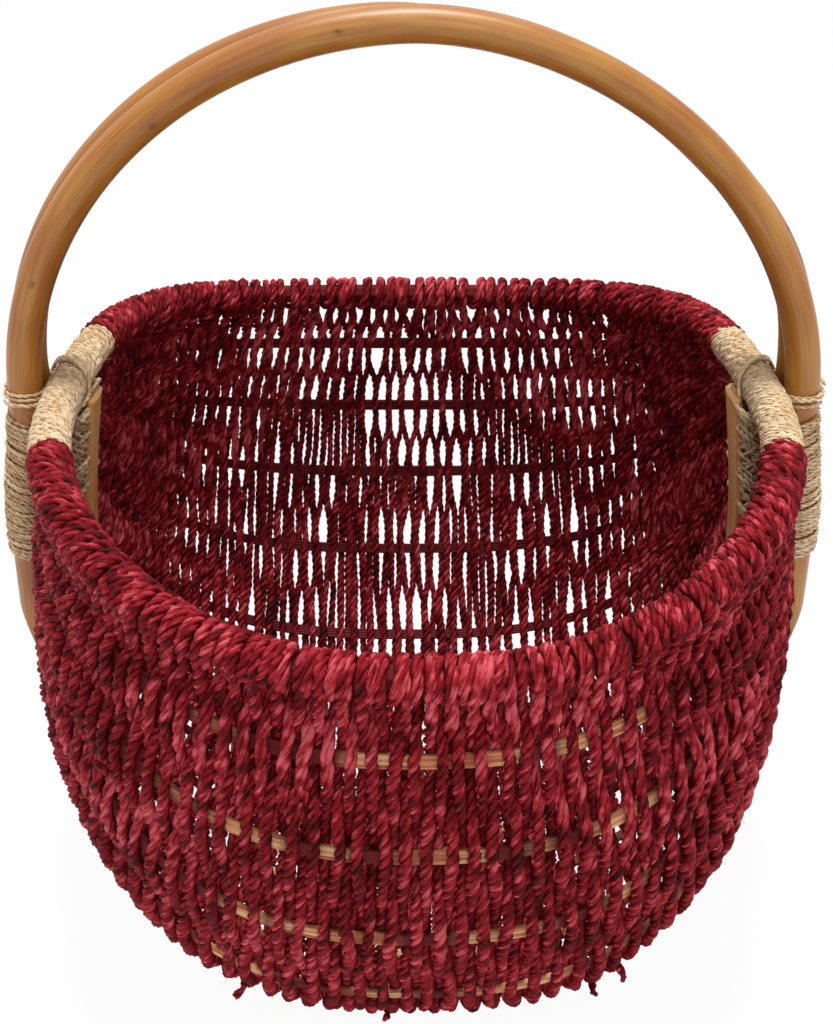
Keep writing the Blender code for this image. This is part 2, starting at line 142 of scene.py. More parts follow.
# Twisted cord: for two and three plies, how far they lie from its middle and their radius, as shares of
# its diameter, how uneven it is, and how far from its middle loose fibres start
PLY_SHAPE = {2: (0.21, 0.285), 3: (0.25, 0.25)}
CORD_SWELL = 0.12
PLY_LUMPS = 0.14
UNEVEN_TURN = 0.9
ON_SURFACE = 0.45

# Loose fibres, and the cut ends that stand out between two heights
STRAY_RADIUS = 0.00009
STRAYS_LOWEST = 0.006
CORD_STRAY_LENGTH = 0.0065
TWINE_STRAY_LENGTH = 0.008
TAIL_HEIGHTS = (0.02, 0.24)
TAIL_LENGTHS = (0.006, 0.012)
TAIL_STAND = 0.0035
TAIL_LOWEST = 0.004
TAIL_STEP = 0.0012
TAIL_FINENESS = 0.7

# The stretches of rim beside the ears that sisal covers, and the lashings below the ears
RIM_WIND_FRONT = 0.088
RIM_WIND_BACK = 0.072
LEG_WIND_TOP = 0.013
LEG_WIND_LENGTH = 0.084
LOOSE_LOOP_TOP = -0.004
LOOSE_LOOP_LENGTH = 0.007
SPLINT_WIND_TOP = 0.007
SPLINT_WIND_LENGTH = 0.072
SPLINT_WIND_OVERLAP = 0.003
SPLINT_WIND_STANDOFF = -0.0075
TIE_SPACING = 0.0019
LEAST_FROM_EAR = 0.001
SIDE_WANDER = 0.0004
REACH_WANDER = 0.0003

# The loops round a splint, inner and outer layer: half the span of their straight sides, and their radius
INNER_LOOP = (0.0100, 0.0062)
OUTER_LOOP = (0.0108, 0.0068)

# Handle canes and inner splints
CANE_RADIUS = 0.0095
CANE_TOP_RADIUS = 0.0091
CANE_PRESS = 0.99
CANE_WAVES = 0.018
HANDLE_RISE = 0.194
HANDLE_POWER_LEFT = 1.96
HANDLE_POWER_RIGHT = 1.87
BACK_CANE_DROP = 0.002
BACK_CANE_SPREAD_LEFT = 0.0048
BACK_CANE_SPREAD_RIGHT = 0.004
BACK_CANE_FULLNESS = 0.7
LEG_SEAT = 0.2107
LEG_REACH = 0.2189
LEG_LENGTH = 0.172
LEG_SPLAY_LENGTH = 0.080
SHAVE_LENGTH = 0.042
SHAVE_TIP = 0.005
SHAVE_EASE = 0.01
SHAVE_BEYOND_X = 0.15
SPLINT_WIDTH = 0.024
SPLINT_THICKNESS = 0.006
SPLINT_ROUNDING = 0.7
SPLINT_TUCK = 0.004
SPLINT_BELOW = 0.125
SPLINT_STANDOFF = 0.0147

# Leaf scars: each one's length along its cane from the left leg's end, and its angle round the cane
FRONT_SCARS = ((0.239, 3.1), (0.347, -2.75), (0.451, 3.0))
BACK_SCARS = ((0.35, 1.2), (0.72, 2.0))
SCAR_RADIUS = 0.0018
SCAR_NARROWING = 1.6
CUT_MARK = 0.15

# Camera, fitted to the rim, the handle and the outline of the body in the photograph
PHOTO_HEIGHT = 1024
FOCAL_PX = 1419
AXIS_ABOVE_MIDDLE_PX = 50
CAMERA_TARGET = (0.001, 0.0, 0.268)
CAMERA_DISTANCE = 0.8
CAMERA_ELEVATION = 0.452
CAMERA_YAW = -0.020
CAMERA_ROLL = 0.007
SENSOR_MM = 36.0

# Lamps: place, target, size and watts. The sky's strength, and how much the floor glows for the camera.
KEY_LAMP = ((0.0, 0.1, 4.0), (0, 0, 0.2), 1.4, 143.0)
FRONT_LAMP = ((0.4, -3.4, 2.4), (0, 0, 0.15), 2.0, 26.0)
SKY_STRENGTH = 0.60
FLOOR_GLOW = 0.94
FLOOR_REACH = 12.0

# How finely lines are sampled
RIM_POINTS = 6001
KEEL_POINTS = 4001
STATION_POINTS = 2001
SECTION_POINTS = 721
WALL_STATIONS = 201
WALL_SHARES = 321
SLOPE_STEP = 0.001
STEPS_PER_CROSSING = 14
STEPS_PER_LAY = 8
SIDES_OF_PLY = 6
RIM_STEPS_PER_TURN = 20
HANGING_STEPS_PER_TURN = 36
RIB_RINGS = 160
CANE_STEP = 0.0018
CANE_SIDES = 40
HANGING_POINTS = 90
ARCH_POINTS = 460
ANY_DIRECTION = (0.31, 0.52, 0.79)

# The maps: the margins in a row of the square map, the length of twine in a row, and how tones differ
BAKE_ROW_MARGIN = 0.08
BAKE_END_MARGIN = 0.005
BAKE_ROW_LENGTH = 0.35
TONE_START = 0.13
TONE_STEP = 0.618

ALL_WALL_NODES = ("woven_wall", "rim_wrap_front", "rim_wrap_back")


def linear(text):
    """An sRGB colour in hex as the linear red, green and blue that shaders use."""
    values = [int(text[index:index + 2], 16) / 255 for index in (1, 3, 5)]
    return tuple(v / 12.92 if v <= 0.04045 else ((v + 0.055) / 1.055) ** 2.4 for v in values)


def colour(name, text, description):
    """A colour for the panel, its default given in hex."""
    return FloatVectorProperty(
        name=name, description=description, subtype="COLOR", size=3, min=0, max=1, default=linear(text))


def length(name, value, description):
    """A length in metres for the panel."""
    return FloatProperty(
        name=name, description=description, unit="LENGTH", min=0, default=value, precision=4)


def whole_number(name, value, description, least=0):
    """A whole number for the panel."""
    return IntProperty(name=name, description=description, min=least, default=value)


class BasketSizes(bpy.types.PropertyGroup):
    cord_diameter: length("Cord", 0.0063, "Diameter of the three-ply cord of the wall")
    cord_lay: length("Cord lay", 0.0160, "Length in which the cord's plies turn once")
    pass_spacing: length("Pass spacing", 0.00445, "Mean distance between passes of the cord")
    twine_diameter: length("Twine", 0.0028, "Diameter of the sisal twine")
    twine_lay: length("Twine lay", 0.0085, "Length in which the twine's plies turn once")
    twine_spacing: length("Twine spacing", 0.0026, "Distance between turns of the twine")
    passes_per_piece: whole_number("Passes per piece", 11, "Passes of cord that one object holds", 1)
    fibres: whole_number("Fibres", 2600, "Loose fibres that stand out of the cord")
    strays: whole_number("Strays", 70, "Loose fibres on each metre of sisal twine")
    tails: whole_number("Tails", 44, "Cut cord ends that stand out of the wall")


class BasketColours(bpy.types.PropertyGroup):
    cord_deep: colour("Cord, deep", "#3c0306", "Dye where it is darkest")
    cord_mid: colour("Cord", "#680811", "Dye over most of the cord")
    cord_bright: colour("Cord, bright", "#971b25", "Dye on the outer fibres")
    cord_faded: colour("Cord, faded", "#c8555d", "Fibres that took little dye")
    sisal_dark: colour("Sisal, dark", "#b39065", "Shaded and soiled fibres")
    sisal_mid: colour("Sisal", "#e0c29b", "Natural sisal")
    sisal_light: colour("Sisal, light", "#f1dfc0", "Pale outer fibres")
    cane_dark: colour("Cane, dark", "#8a4b1a", "Dark grain of the handle")
    cane_mid: colour("Cane", "#9f6421", "Lacquered cane")
    cane_light: colour("Cane, light", "#ae7b2d", "Pale grain of the handle")
    cane_scar: colour("Cane scars", "#3f2412", "Small scars where leaves grew")
    split_dark: colour("Split cane, dark", "#a8573a", "Dark lines of the ribs' grain")
    split_mid: colour("Split cane", "#c98a5c", "Split cane of the ribs")
    split_light: colour("Split cane, light", "#e6b98a", "Pale lines of the ribs' grain")
    # Dark red of split cane: the dye it soaked up, and also painted shade on the back ribs and the hoop,
    # which lie in shadow inside the basket and between the wraps
    stained: colour("Stained cane", "#5e0a0e", "Split cane that soaked up the dye")
    stained_light: colour("Stained cane, light", "#84191c", "Its grain")
    splint_dark: colour("Splints, dark", "#a8692f", "Dark grain of the inner splints")
    splint_mid: colour("Splints", "#d29650", "Inner splints")
    splint_light: colour("Splints, light", "#e4b372", "Pale grain of the inner splints")
    floor: colour("Floor", "#f4f4f4", "Floor under the basket")


# The wall's surface

def oval(share, power):
    """How far an oval of this power still reaches at a share of its half width."""
    return np.maximum(1.0 - np.abs(share) ** power, 0.0) ** (1.0 / power)


def signed_power(values, power):
    """Values raised to a power that keep their sign."""
    return np.sign(values) * np.abs(values) ** power


def unit(vectors):
    """The same directions, each 1 long."""
    return vectors / np.linalg.norm(vectors, axis=-1, keepdims=True)


def length_along(points):
    """The length of a path up to each of its points."""
    steps = np.linalg.norm(np.diff(points, axis=0), axis=1)
    return np.concatenate([[0.0], np.cumsum(steps)])


def interpolated(wanted, along, points):
    """Points at wanted lengths along a path."""
    axes = range(points.shape[1])
    return np.stack([np.interp(wanted, along, points[:, axis]) for axis in axes], axis=-1)


def ramp(values, start, run):
    """0 up to the start, 1 beyond the run, and even between them."""
    return np.clip((values - start) / run, 0.0, 1.0)


@lru_cache(maxsize=None)
def rim_half(side):
    """The rim's centre line from the left ear to the right ear, and the length along it.

    Side is -1 for the front half of the rim and 1 for the back half.
    """
    power, reach, dip = (
        (RIM_FRONT_POWER, RIM_FRONT, DIP_FRONT) if side < 0 else (RIM_BACK_POWER, RIM_BACK, DIP_BACK))
    angles = np.linspace(math.pi, 0.0, RIM_POINTS)
    x = RIM_HALF_WIDTH * signed_power(np.cos(angles), 2 / power)
    share = np.sin(angles) ** (2 / power)
    share[0] = share[-1] = 0.0
    points = np.stack([x, side * reach * share, EAR_HEIGHT - dip * share ** DIP_POWER], axis=-1)
    return points, length_along(points)


def rim_frame(side, distance):
    """Points of the rim at distances from the left ear, with unit vectors away from the basket and up."""
    points, along = rim_half(side)
    ahead = interpolated(distance + SLOPE_STEP, along, points)
    tangent = unit(ahead - interpolated(distance - SLOPE_STEP, along, points))
    outward = unit(np.cross(tangent, (0.0, 0.0, 1.0))) * -side
    upward = np.cross(tangent, outward) * side
    return interpolated(distance, along, points), outward, upward


@lru_cache(maxsize=None)
def keel_shares():
    """Shares of the half width, and the keel's length from the middle to each of them."""
    last = oval(np.array(EAR_OPENING_SHARE), KEEL_POWER)
    end_angle = math.asin(last ** (KEEL_POWER / 2))
    angles = np.linspace(0.0, end_angle, KEEL_POINTS)
    shares = np.sin(angles) ** (2 / KEEL_POWER)
    line = np.stack([RIM_HALF_WIDTH * shares, EAR_HEIGHT * np.cos(angles) ** (2 / KEEL_POWER)], axis=-1)
    return shares, length_along(line)


def station_x(station):
    """X of a cross section. Stations run from -1 at the left ear to 1 at the right ear."""
    shares, distance = keel_shares()
    return np.sign(station) * RIM_HALF_WIDTH * np.interp(np.abs(station) * distance[-1], distance, shares)


def section_line(station):
    """The wall's middle surface at a station, from the front rim to the back rim."""
    x = float(station_x(station))
    share = abs(x) / RIM_HALF_WIDTH
    turn = np.linspace(0.0, math.pi, SECTION_POINTS)
    front = oval(share, RIM_FRONT_POWER)
    back = oval(share, RIM_BACK_POWER)
    blend = 0.5 - 0.5 * np.cos(turn)
    top = EAR_HEIGHT - (1 - blend) * DIP_FRONT * front ** DIP_POWER - blend * DIP_BACK * back ** DIP_POWER
    lowest = BOTTOM - SETTLE
    floor = EAR_HEIGHT - (EAR_HEIGHT - lowest) * oval(share, KEEL_POWER)
    drop = np.abs(np.sin(turn)) ** (2 / SECTION_POWER)
    reach = np.where(turn < math.pi / 2, RIM_FRONT * front, RIM_BACK * back)
    y = -reach * signed_power(np.cos(turn), 2 / SECTION_POWER)
    z = top - (top - floor) * drop
    swell = np.sin(math.pi * (top - z) / (top - lowest))
    belly = BELLY_X if x < 0 else BELLY_RIGHT
    return np.stack([x * (1 + belly * swell), y * (1 + BELLY_Y * swell), np.maximum(z, BOTTOM)], axis=-1)


@lru_cache(maxsize=None)
def wall_grid():
    """The wall's middle surface as a grid of stations by shares, with its outward unit vectors."""
    stations = np.linspace(-1.0, 1.0, WALL_STATIONS)
    shares = np.linspace(0.0, 1.0, WALL_SHARES)
    rows = []
    for station in stations:
        line = section_line(station)
        along = length_along(line)
        rows.append(interpolated(STANDOFF + shares * (along[-1] - 2 * STANDOFF), along, line))
    points = np.array(rows)
    sideways = np.gradient(points, stations, axis=0)
    outward = unit(np.cross(np.gradient(points, shares, axis=1), sideways))
    return points, sideways, outward


def sampled(field, row, column):
    """Values of a grid of vectors, at rows and columns that need not be whole numbers."""
    low_row = row.astype(int)
    low_column = column.astype(int)
    across = (row - low_row)[..., None]
    along = (column - low_column)[..., None]
    low = field[low_row, low_column] * (1 - along) + field[low_row, low_column + 1] * along
    high = field[low_row + 1, low_column] * (1 - along) + field[low_row + 1, low_column + 1] * along
    return low * (1 - across) + high * across


def on_wall(station, share):
    """Points of the wall, how far they move to the right for each unit of station, and outward vectors."""
    just_short = 1.001
    row = np.clip((station + 1) / 2 * (WALL_STATIONS - 1), 0, WALL_STATIONS - just_short)
    column = np.clip(share * (WALL_SHARES - 1), 0, WALL_SHARES - just_short)
    point, sideways, outward = [sampled(field, row, column) for field in wall_grid()]
    return point, sideways, unit(outward)


def rib_shares():
    """Each rib's share of the way from the front rim to the back rim."""
    front = [place / 2 for place in RIB_PLACES]
    return front + [0.5] + [1 - share for share in reversed(front)]


def keel_x(z):
    """How far the wall reaches to the side at heights z, at Y = 0."""
    depth = np.clip((EAR_HEIGHT - z) / (EAR_HEIGHT - BOTTOM + SETTLE), 0.0, 1.0)
    return RIM_HALF_WIDTH * oval(depth, KEEL_POWER) * (1 + BELLY_X * np.sin(math.pi * depth))


def beside_wall(side, standoff, depth):
    """Points at depths below the ear and at a distance from the wall, with unit vectors away from it."""
    return hanging_line(side, depth, lambda down: keel_x(EAR_HEIGHT - down) + standoff)


def leg_line(side, depth):
    """Points of a leg's centre line at depths below the ear, with unit vectors away from the basket."""
    def reach(down):
        share = np.clip(down / LEG_SPLAY_LENGTH, 0.0, 1.0)
        return LEG_SEAT + (LEG_REACH - LEG_SEAT) * share * share * (3 - 2 * share)
    return hanging_line(side, depth, reach)


def hanging_line(side, depth, reach):
    """Points of a line that hangs at Y = 0 and reaches so far out, with unit vectors outwards."""
    def place(down):
        return np.stack([side * reach(down), np.zeros_like(down), EAR_HEIGHT - down], axis=-1)

    below = unit(place(depth + SLOPE_STEP) - place(depth - SLOPE_STEP))
    outward = side * np.stack([-below[..., 2], np.zeros_like(depth), below[..., 0]], axis=-1)
    return place(depth), outward


# Paths and meshes

def smooth_noise(count, every, rng):
    """Values from -1 to 1 that wander smoothly, with a new one each so many samples."""
    knots = rng.uniform(-1, 1, int(count / every) + 3)
    place = np.arange(count) / every
    low = place.astype(int)
    share = place - low
    ease = share * share * (3 - 2 * share)
    return knots[low] * (1 - ease) + knots[low + 1] * ease


def even_path(points, step):
    """The same path with points a step apart, its corners eased, and the length along it."""
    along = length_along(points)
    count = max(int(along[-1] / step), 2)
    even = interpolated(np.linspace(0, along[-1], count + 1), along, points)
    for _ in range(2):
        even[1:-1] = (even[:-2] + 2 * even[1:-1] + even[2:]) / 4
    return even, length_along(even)


def carried_frames(points):
    """A pair of unit vectors square to the path at each point, which turn with it and don't spin."""
    tangents = unit(np.gradient(points, axis=0))
    start = np.cross(tangents[0], ANY_DIRECTION)
    x, y, z = (start / np.linalg.norm(start)).tolist()
    carried = []
    for tx, ty, tz in tangents.tolist():
        slip = x * tx + y * ty + z * tz
        x, y, z = x - slip * tx, y - slip * ty, z - slip * tz
        size = math.sqrt(x * x + y * y + z * z)
        x, y, z = x / size, y / size, z / size
        carried.append((x, y, z))
    first = np.array(carried)
    return first, np.cross(tangents, first)


def tube_rings(points, radius, sides, first=None):
    """Rings of points round a path. first gives the direction of each ring's first point."""
    tangents = unit(np.gradient(points, axis=0))
    if first is None:
        first, second = carried_frames(points)
    else:
        first = unit(first - tangents * np.sum(first * tangents, axis=1, keepdims=True))
        second = np.cross(tangents, first)
    angles = np.linspace(0, 2 * math.pi, sides, endpoint=False)
    radius = np.broadcast_to(radius, len(points))[:, None, None]
    around = first[:, None] * np.cos(angles)[:, None] + second[:, None] * np.sin(angles)[:, None]
    return points[:, None] + around * radius


def ply_rings(points, along, diameter, lay, rng, fullness=1.0, count=2):
    """Rings of the plies of a twisted cord along a path, as an array of ply, place and side."""
    first, second = carried_frames(points)
    reach, thickness = PLY_SHAPE[count]
    noise = partial(smooth_noise, len(points), rng=rng)
    swell = fullness * (1 + CORD_SWELL * noise(2.2 * STEPS_PER_LAY))
    turn = 2 * math.pi * np.cumsum(np.gradient(along) / lay)
    turn += UNEVEN_TURN * noise(3 * STEPS_PER_LAY)
    plies = []
    for ply in range(count):
        angle = (turn + 2 * math.pi * ply / count)[:, None]
        away = first * np.cos(angle) + second * np.sin(angle)
        centre = points + away * (reach * diameter * swell)[:, None]
        lump = 1 + PLY_LUMPS * noise(0.5 * STEPS_PER_LAY)
        plies.append(tube_rings(centre, thickness * diameter * swell * lump, SIDES_OF_PLY, away))
    return np.array(plies)


def ring_faces(count, sides):
    """The faces of a closed tube of rings, as corner numbers. Sides is even: the ends close in fours."""
    place = np.arange(count - 1)[:, None] * sides
    side = np.arange(sides)[None]
    ahead = (side + 1) % sides
    body = np.stack([place + side, place + ahead, place + sides + ahead, place + sides + side], axis=-1)
    corners = range(0, sides - 2, 2)
    start = [[0, sides - 1 - corner, sides - 2 - corner, sides - 3 - corner] for corner in corners]
    last = (count - 1) * sides
    end = [[last, last + 1 + corner, last + 2 + corner, last + 3 + corner] for corner in corners]
    return np.concatenate([body.reshape(-1, 4), np.array(start), np.array(end)])


def ring_map(count, sides, along, girth):
    """For each corner of ring_faces: the length along the tube and the length round it."""
    place = np.arange(count - 1)[:, None]
    side = np.arange(sides)[None]
    around = [np.broadcast_arrays(along[place + up], (side + over) / sides * girth)
              for up, over in ((0, 0), (0, 1), (1, 1), (1, 0))]
    body = np.stack([np.stack(corner, axis=-1) for corner in around], axis=2)
    end_corners = (sides - 2) // 2 * 4
    start = np.tile([along[0], 0.0], (end_corners, 1))
    end = np.tile([along[-1], 0.0], (end_corners, 1))
    return np.concatenate([body.reshape(-1, 2), start, end])


def bake_map(uv, row_length, girth, first_row, rows):
    """Lays a tube out in rows of a square map, each row_length long. uv is ring_map's result."""
    corners = uv.reshape(-1, 4, 2)
    start = corners[:, :, 0].min(axis=1)
    first = uv[:, 0].min()
    row = np.floor((start - first) / row_length + 1e-6)
    u = (corners[:, :, 0] - first - row[:, None] * row_length) / row_length
    u = np.clip(BAKE_END_MARGIN + u * (1 - 3 * BAKE_END_MARGIN), 0, 1)
    v = BAKE_ROW_MARGIN + (1 - 2 * BAKE_ROW_MARGIN) * corners[:, :, 1] / girth
    return np.stack([u, (first_row + row[:, None] + v) / rows], axis=-1).reshape(-1, 2)


def mesh_object(name, points, faces, maps=None, tones=None):
    """An object from arrays. maps are corner maps by name, and tones are values for each point by name."""
    mesh = bpy.data.meshes.new(name)
    faces = np.ascontiguousarray(faces, np.int32)
    mesh.vertices.add(len(points))
    mesh.vertices.foreach_set("co", np.ascontiguousarray(points, np.float32).ravel())
    mesh.loops.add(faces.size)
    mesh.loops.foreach_set("vertex_index", faces.ravel())
    mesh.polygons.add(len(faces))
    mesh.polygons.foreach_set("loop_start", np.arange(0, faces.size, faces.shape[1], dtype=np.int32))
    mesh.polygons.foreach_set("use_smooth", np.ones(len(faces), bool))
    for map_name, values in (maps or {}).items():
        layer = mesh.uv_layers.new(name=map_name)
        layer.uv.foreach_set("vector", np.ascontiguousarray(values, np.float32).ravel())
    mesh.update(calc_edges=True)
    mesh.validate()
    item = bpy.data.objects.new(name, mesh)
    bpy.context.scene.collection.objects.link(item)
    for tone_name, values in (tones or {}).items():
        set_tone(item, tone_name, values)
    return item


def set_tone(item, name, values):
    """Stores one number for each point of a mesh, which materials read by name."""
    attribute = item.data.attributes.new(name, "FLOAT", "POINT")
    attribute.data.foreach_set("value", np.ascontiguousarray(values, np.float32).ravel())


def tubes_object(name, tubes, rows_per_tube=1, rim_wear_and_highlight=None):
    """One object from several tubes, each given as its rings and the length along them.

    The last argument is how much paler each ring is painted, on the rim for wear and as painted highlight,
    where the tubes have one; it is the same for all of them.
    """
    points, faces, fibre, bake, tone = [], [], [], [], []
    used = 0
    rows = rows_per_tube * len(tubes)
    for index, (rings, along) in enumerate(tubes):
        count, sides = rings.shape[:2]
        girth = float(np.linalg.norm(rings[:, 1] - rings[:, 0], axis=1).mean() * sides)
        uv = ring_map(count, sides, along, girth)
        points.append(rings.reshape(-1, 3))
        faces.append(ring_faces(count, sides) + used)
        fibre.append(uv)
        row_length = (along[-1] - along[0]) / rows_per_tube * 1.0001
        bake.append(bake_map(uv, row_length, girth, index * rows_per_tube, rows))
        tone.append(np.full(count * sides, (index * TONE_STEP + TONE_START) % 1.0))
        used += count * sides
    tones = {"strand": np.concatenate(tone)}
    # Paler on the rim: partly wear, partly painted highlight where light falls on the rim's wraps
    if rim_wear_and_highlight is not None:
        tones["rim_wear_and_highlight"] = np.tile(np.repeat(rim_wear_and_highlight, sides), len(tubes))
    maps = {"fibre": np.concatenate(fibre), "OFBake": np.concatenate(bake)}
    return mesh_object(name, np.concatenate(points), np.concatenate(faces), maps, tones)


def finished(item, material, slot, *nodes):
    """Gives a piece its material and its body, and hides the frame's nodes that it stands for. Slot is not
    used.
    """
    item.data.materials.clear()
    item.data.materials.append(material)
    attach(item, "root")
    if nodes:
        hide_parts(*nodes)
    return item


# Materials. Patterns are as large as their names say, along and across the fibres or the grain. The fibres
# of grass and sisal and the grain lines of rattan are finer than this, too fine to show in the render, and
# are drawn as coarse as they need to show.

FIBRE_SLANT = 0.5
FIBRE_RUN_MM = 9.0
TONE_PATCH_MM = (7.0, 17.0)
WIDE_TONE_MM = 45.0
GRAIN_MM = (45.0, 2.0)
GRAIN_PATCH_MM = (55.0, 17.0)

# The fibres' tone: the share of the patches in it and of the wide changes, how much paler the cord is where
# it wraps the rim, partly for wear and partly as painted highlight, and the range over which the colours
# are spread
PATCH_SHARE = 0.6
WIDE_SHARE = 0.14
RIM_PALER_FOR_WEAR_AND_HIGHLIGHT = 0.045
TONE_RANGE = (0.40, 0.62)


def per_metre(along_mm, across_mm):
    """The scale that gives a pattern these sizes."""
    return 1000.0 / along_mm, 1000.0 / across_mm, 1.0


def add_node(tree, kind, inputs=None, stops=None, **settings):
    """Adds a node. inputs maps a socket to a value or another node's output; stops fill a colour ramp."""
    made = tree.nodes.new(kind)
    for name, value in settings.items():
        setattr(made, name, value)
    for key, value in (inputs or {}).items():
        if isinstance(value, bpy.types.NodeSocket):
            tree.links.new(value, made.inputs[key])
        else:
            made.inputs[key].default_value = value
    for index, (place, rgb) in enumerate(stops or ()):
        elements = made.color_ramp.elements
        element = elements[index] if index < 2 else elements.new(place)
        element.position = place
        element.color = (*rgb, 1.0)
    return made


def new_material(name):
    """A new material, its node tree and its Principled shader."""
    material = bpy.data.materials.new(name)
    material.use_nodes = True
    return material, material.node_tree, material.node_tree.nodes["Principled BSDF"]


def set_inputs(shader, values):
    """Sets a shader's inputs by name."""
    for name, value in values.items():
        shader.inputs[name].default_value = value


def plied_fibre(name, tones, fibre_mm, roughness, sheen=0.0):
    """Twisted plant fibre. Tones run from the darkest to the palest fibres.

    Fine fibres lie along the ply at a slant, tone changes over about a centimetre of cord and again over
    a few centimetres of the wall, and each ply differs from the next. Dry fibre is rough and hardly shines.
    Where the cord wraps the rim it is painted paler, partly for wear and partly as painted highlight.
    """
    material, tree, shader = new_material(name)
    lie = add_node(tree, "ShaderNodeUVMap", uv_map="fibre")
    turned = add_node(tree, "ShaderNodeMapping", {
        "Vector": lie.outputs["UV"], "Rotation": (0, 0, FIBRE_SLANT),
        "Scale": per_metre(FIBRE_RUN_MM, fibre_mm)})
    fibres = add_node(tree, "ShaderNodeTexNoise", {
        "Vector": turned.outputs["Vector"], "Scale": 1.0, "Detail": 2.0, "Roughness": 0.6})
    patches = add_node(tree, "ShaderNodeMapping", {
        "Vector": lie.outputs["UV"], "Scale": per_metre(*TONE_PATCH_MM)})
    strand = add_node(tree, "ShaderNodeAttribute", attribute_name="strand")
    shifted = add_node(tree, "ShaderNodeVectorMath", {
        0: patches.outputs["Vector"], 1: strand.outputs["Vector"]}, operation="ADD")
    length_tone = add_node(tree, "ShaderNodeTexNoise", {
        "Vector": shifted.outputs["Vector"], "Scale": 1.0, "Detail": 2.0, "Roughness": 0.5})
    place = add_node(tree, "ShaderNodeTexCoord")
    wide_tone = add_node(tree, "ShaderNodeTexNoise", {
        "Vector": place.outputs["Object"], "Scale": 1000.0 / WIDE_TONE_MM, "Detail": 1.0})
    tone = add_node(tree, "ShaderNodeMix", {
        0: PATCH_SHARE, 2: fibres.outputs["Fac"], 3: length_tone.outputs["Fac"]}, data_type="FLOAT")
    mixed = add_node(tree, "ShaderNodeMix", {
        0: WIDE_SHARE, 2: tone.outputs[0], 3: wide_tone.outputs["Fac"]}, data_type="FLOAT")
    # The rim's wraps are painted paler, partly for wear and partly as painted highlight
    rim_wear_and_highlight = add_node(tree, "ShaderNodeAttribute", attribute_name="rim_wear_and_highlight")
    paler = add_node(tree, "ShaderNodeMath", {
        0: rim_wear_and_highlight.outputs["Fac"], 1: RIM_PALER_FOR_WEAR_AND_HIGHLIGHT, 2: mixed.outputs[0]}, operation="MULTIPLY_ADD")
    first, last = TONE_RANGE
    stops = [(first + (last - first) * index / (len(tones) - 1), rgb) for index, rgb in enumerate(tones)]
    ramp_of_tones = add_node(tree, "ShaderNodeValToRGB", {"Fac": paler.outputs[0]}, stops=stops)
    bump = add_node(tree, "ShaderNodeBump", {
        "Height": fibres.outputs["Fac"], "Strength": 0.7, "Distance": 0.0004})
    tree.links.new(ramp_of_tones.outputs["Color"], shader.inputs["Base Color"])
    tree.links.new(bump.outputs["Normal"], shader.inputs["Normal"])
    set_inputs(shader, {
        "Roughness": roughness, "Sheen Weight": sheen, "Sheen Roughness": 0.45, "Specular IOR Level": 0.1})
    return material


def cane_material(name, tones, mark, roughness, coat=0.0, contrast=0.17):
    """Rattan: long grain lines and slow changes of tone. Its points' mark attribute brings in the mark."""
    dark, mid, light = tones
    material, tree, shader = new_material(name)
    lie = add_node(tree, "ShaderNodeUVMap", uv_map="fibre")
    grain_lie = add_node(tree, "ShaderNodeMapping", {
        "Vector": lie.outputs["UV"], "Scale": per_metre(*GRAIN_MM)})
    grain = add_node(tree, "ShaderNodeTexNoise", {
        "Vector": grain_lie.outputs["Vector"], "Scale": 1.0, "Detail": 3.0, "Roughness": 0.6})
    broad_lie = add_node(tree, "ShaderNodeMapping", {
        "Vector": lie.outputs["UV"], "Scale": per_metre(*GRAIN_PATCH_MM)})
    broad = add_node(tree, "ShaderNodeTexNoise", {
        "Vector": broad_lie.outputs["Vector"], "Scale": 1.0, "Detail": 2.0})
    tone = add_node(tree, "ShaderNodeMix", {
        0: 0.5, 2: grain.outputs["Fac"], 3: broad.outputs["Fac"]}, data_type="FLOAT")
    ramp_of_tones = add_node(tree, "ShaderNodeValToRGB", {"Fac": tone.outputs[0]}, stops=[
        (0.5 - contrast, dark), (0.5 + contrast, light), (0.5, mid)])
    marks = add_node(tree, "ShaderNodeAttribute", attribute_name="mark")
    marked = add_node(tree, "ShaderNodeMix", {
        0: marks.outputs["Fac"], 6: ramp_of_tones.outputs["Color"], 7: (*mark, 1.0)}, data_type="RGBA")
    bump = add_node(tree, "ShaderNodeBump", {
        "Height": grain.outputs["Fac"], "Strength": 0.25, "Distance": 0.0003})
    tree.links.new(marked.outputs[2], shader.inputs["Base Color"])
    tree.links.new(bump.outputs["Normal"], shader.inputs["Normal"])
    set_inputs(shader, {
        "Roughness": roughness, "Coat Weight": coat, "Coat Roughness": 0.25,
        "Specular IOR Level": 0.5 if coat else 0.2})
    return material


def dyed_grass_cord(name, tones):
    """Dry grass, dyed and twisted: matt, from nearly black in the lay to pink where little dye took."""
    colours = (tones.cord_deep, tones.cord_mid, tones.cord_bright, tones.cord_faded)
    return plied_fibre(name, colours, fibre_mm=0.5, roughness=0.6)


def natural_sisal_twine(name, tones):
    """Undyed sisal, spun: pale and very rough, with a soft sheen from its loose hairs."""
    colours = (tones.sisal_dark, tones.sisal_mid, tones.sisal_light)
    return plied_fibre(name, colours, fibre_mm=0.4, roughness=0.75, sheen=0.1)


def lacquered_rattan_cane(name, tones):
    """Whole rattan, steamed and bent, with a thin satin lacquer: soft highlights and dark leaf scars."""
    colours = (tones.cane_dark, tones.cane_mid, tones.cane_light)
    return cane_material(name, colours, tones.cane_scar, roughness=0.42, coat=0.12)


def split_cane(name, tones):
    """Rattan core, split and left bare: pale and dull, and dark red where it is marked: stained where it
    soaked up the dye, and painted shade all along the back ribs inside the basket.
    """
    colours = (tones.split_dark, tones.split_mid, tones.split_light)
    return cane_material(name, colours, tones.stained, roughness=0.6, contrast=0.08)


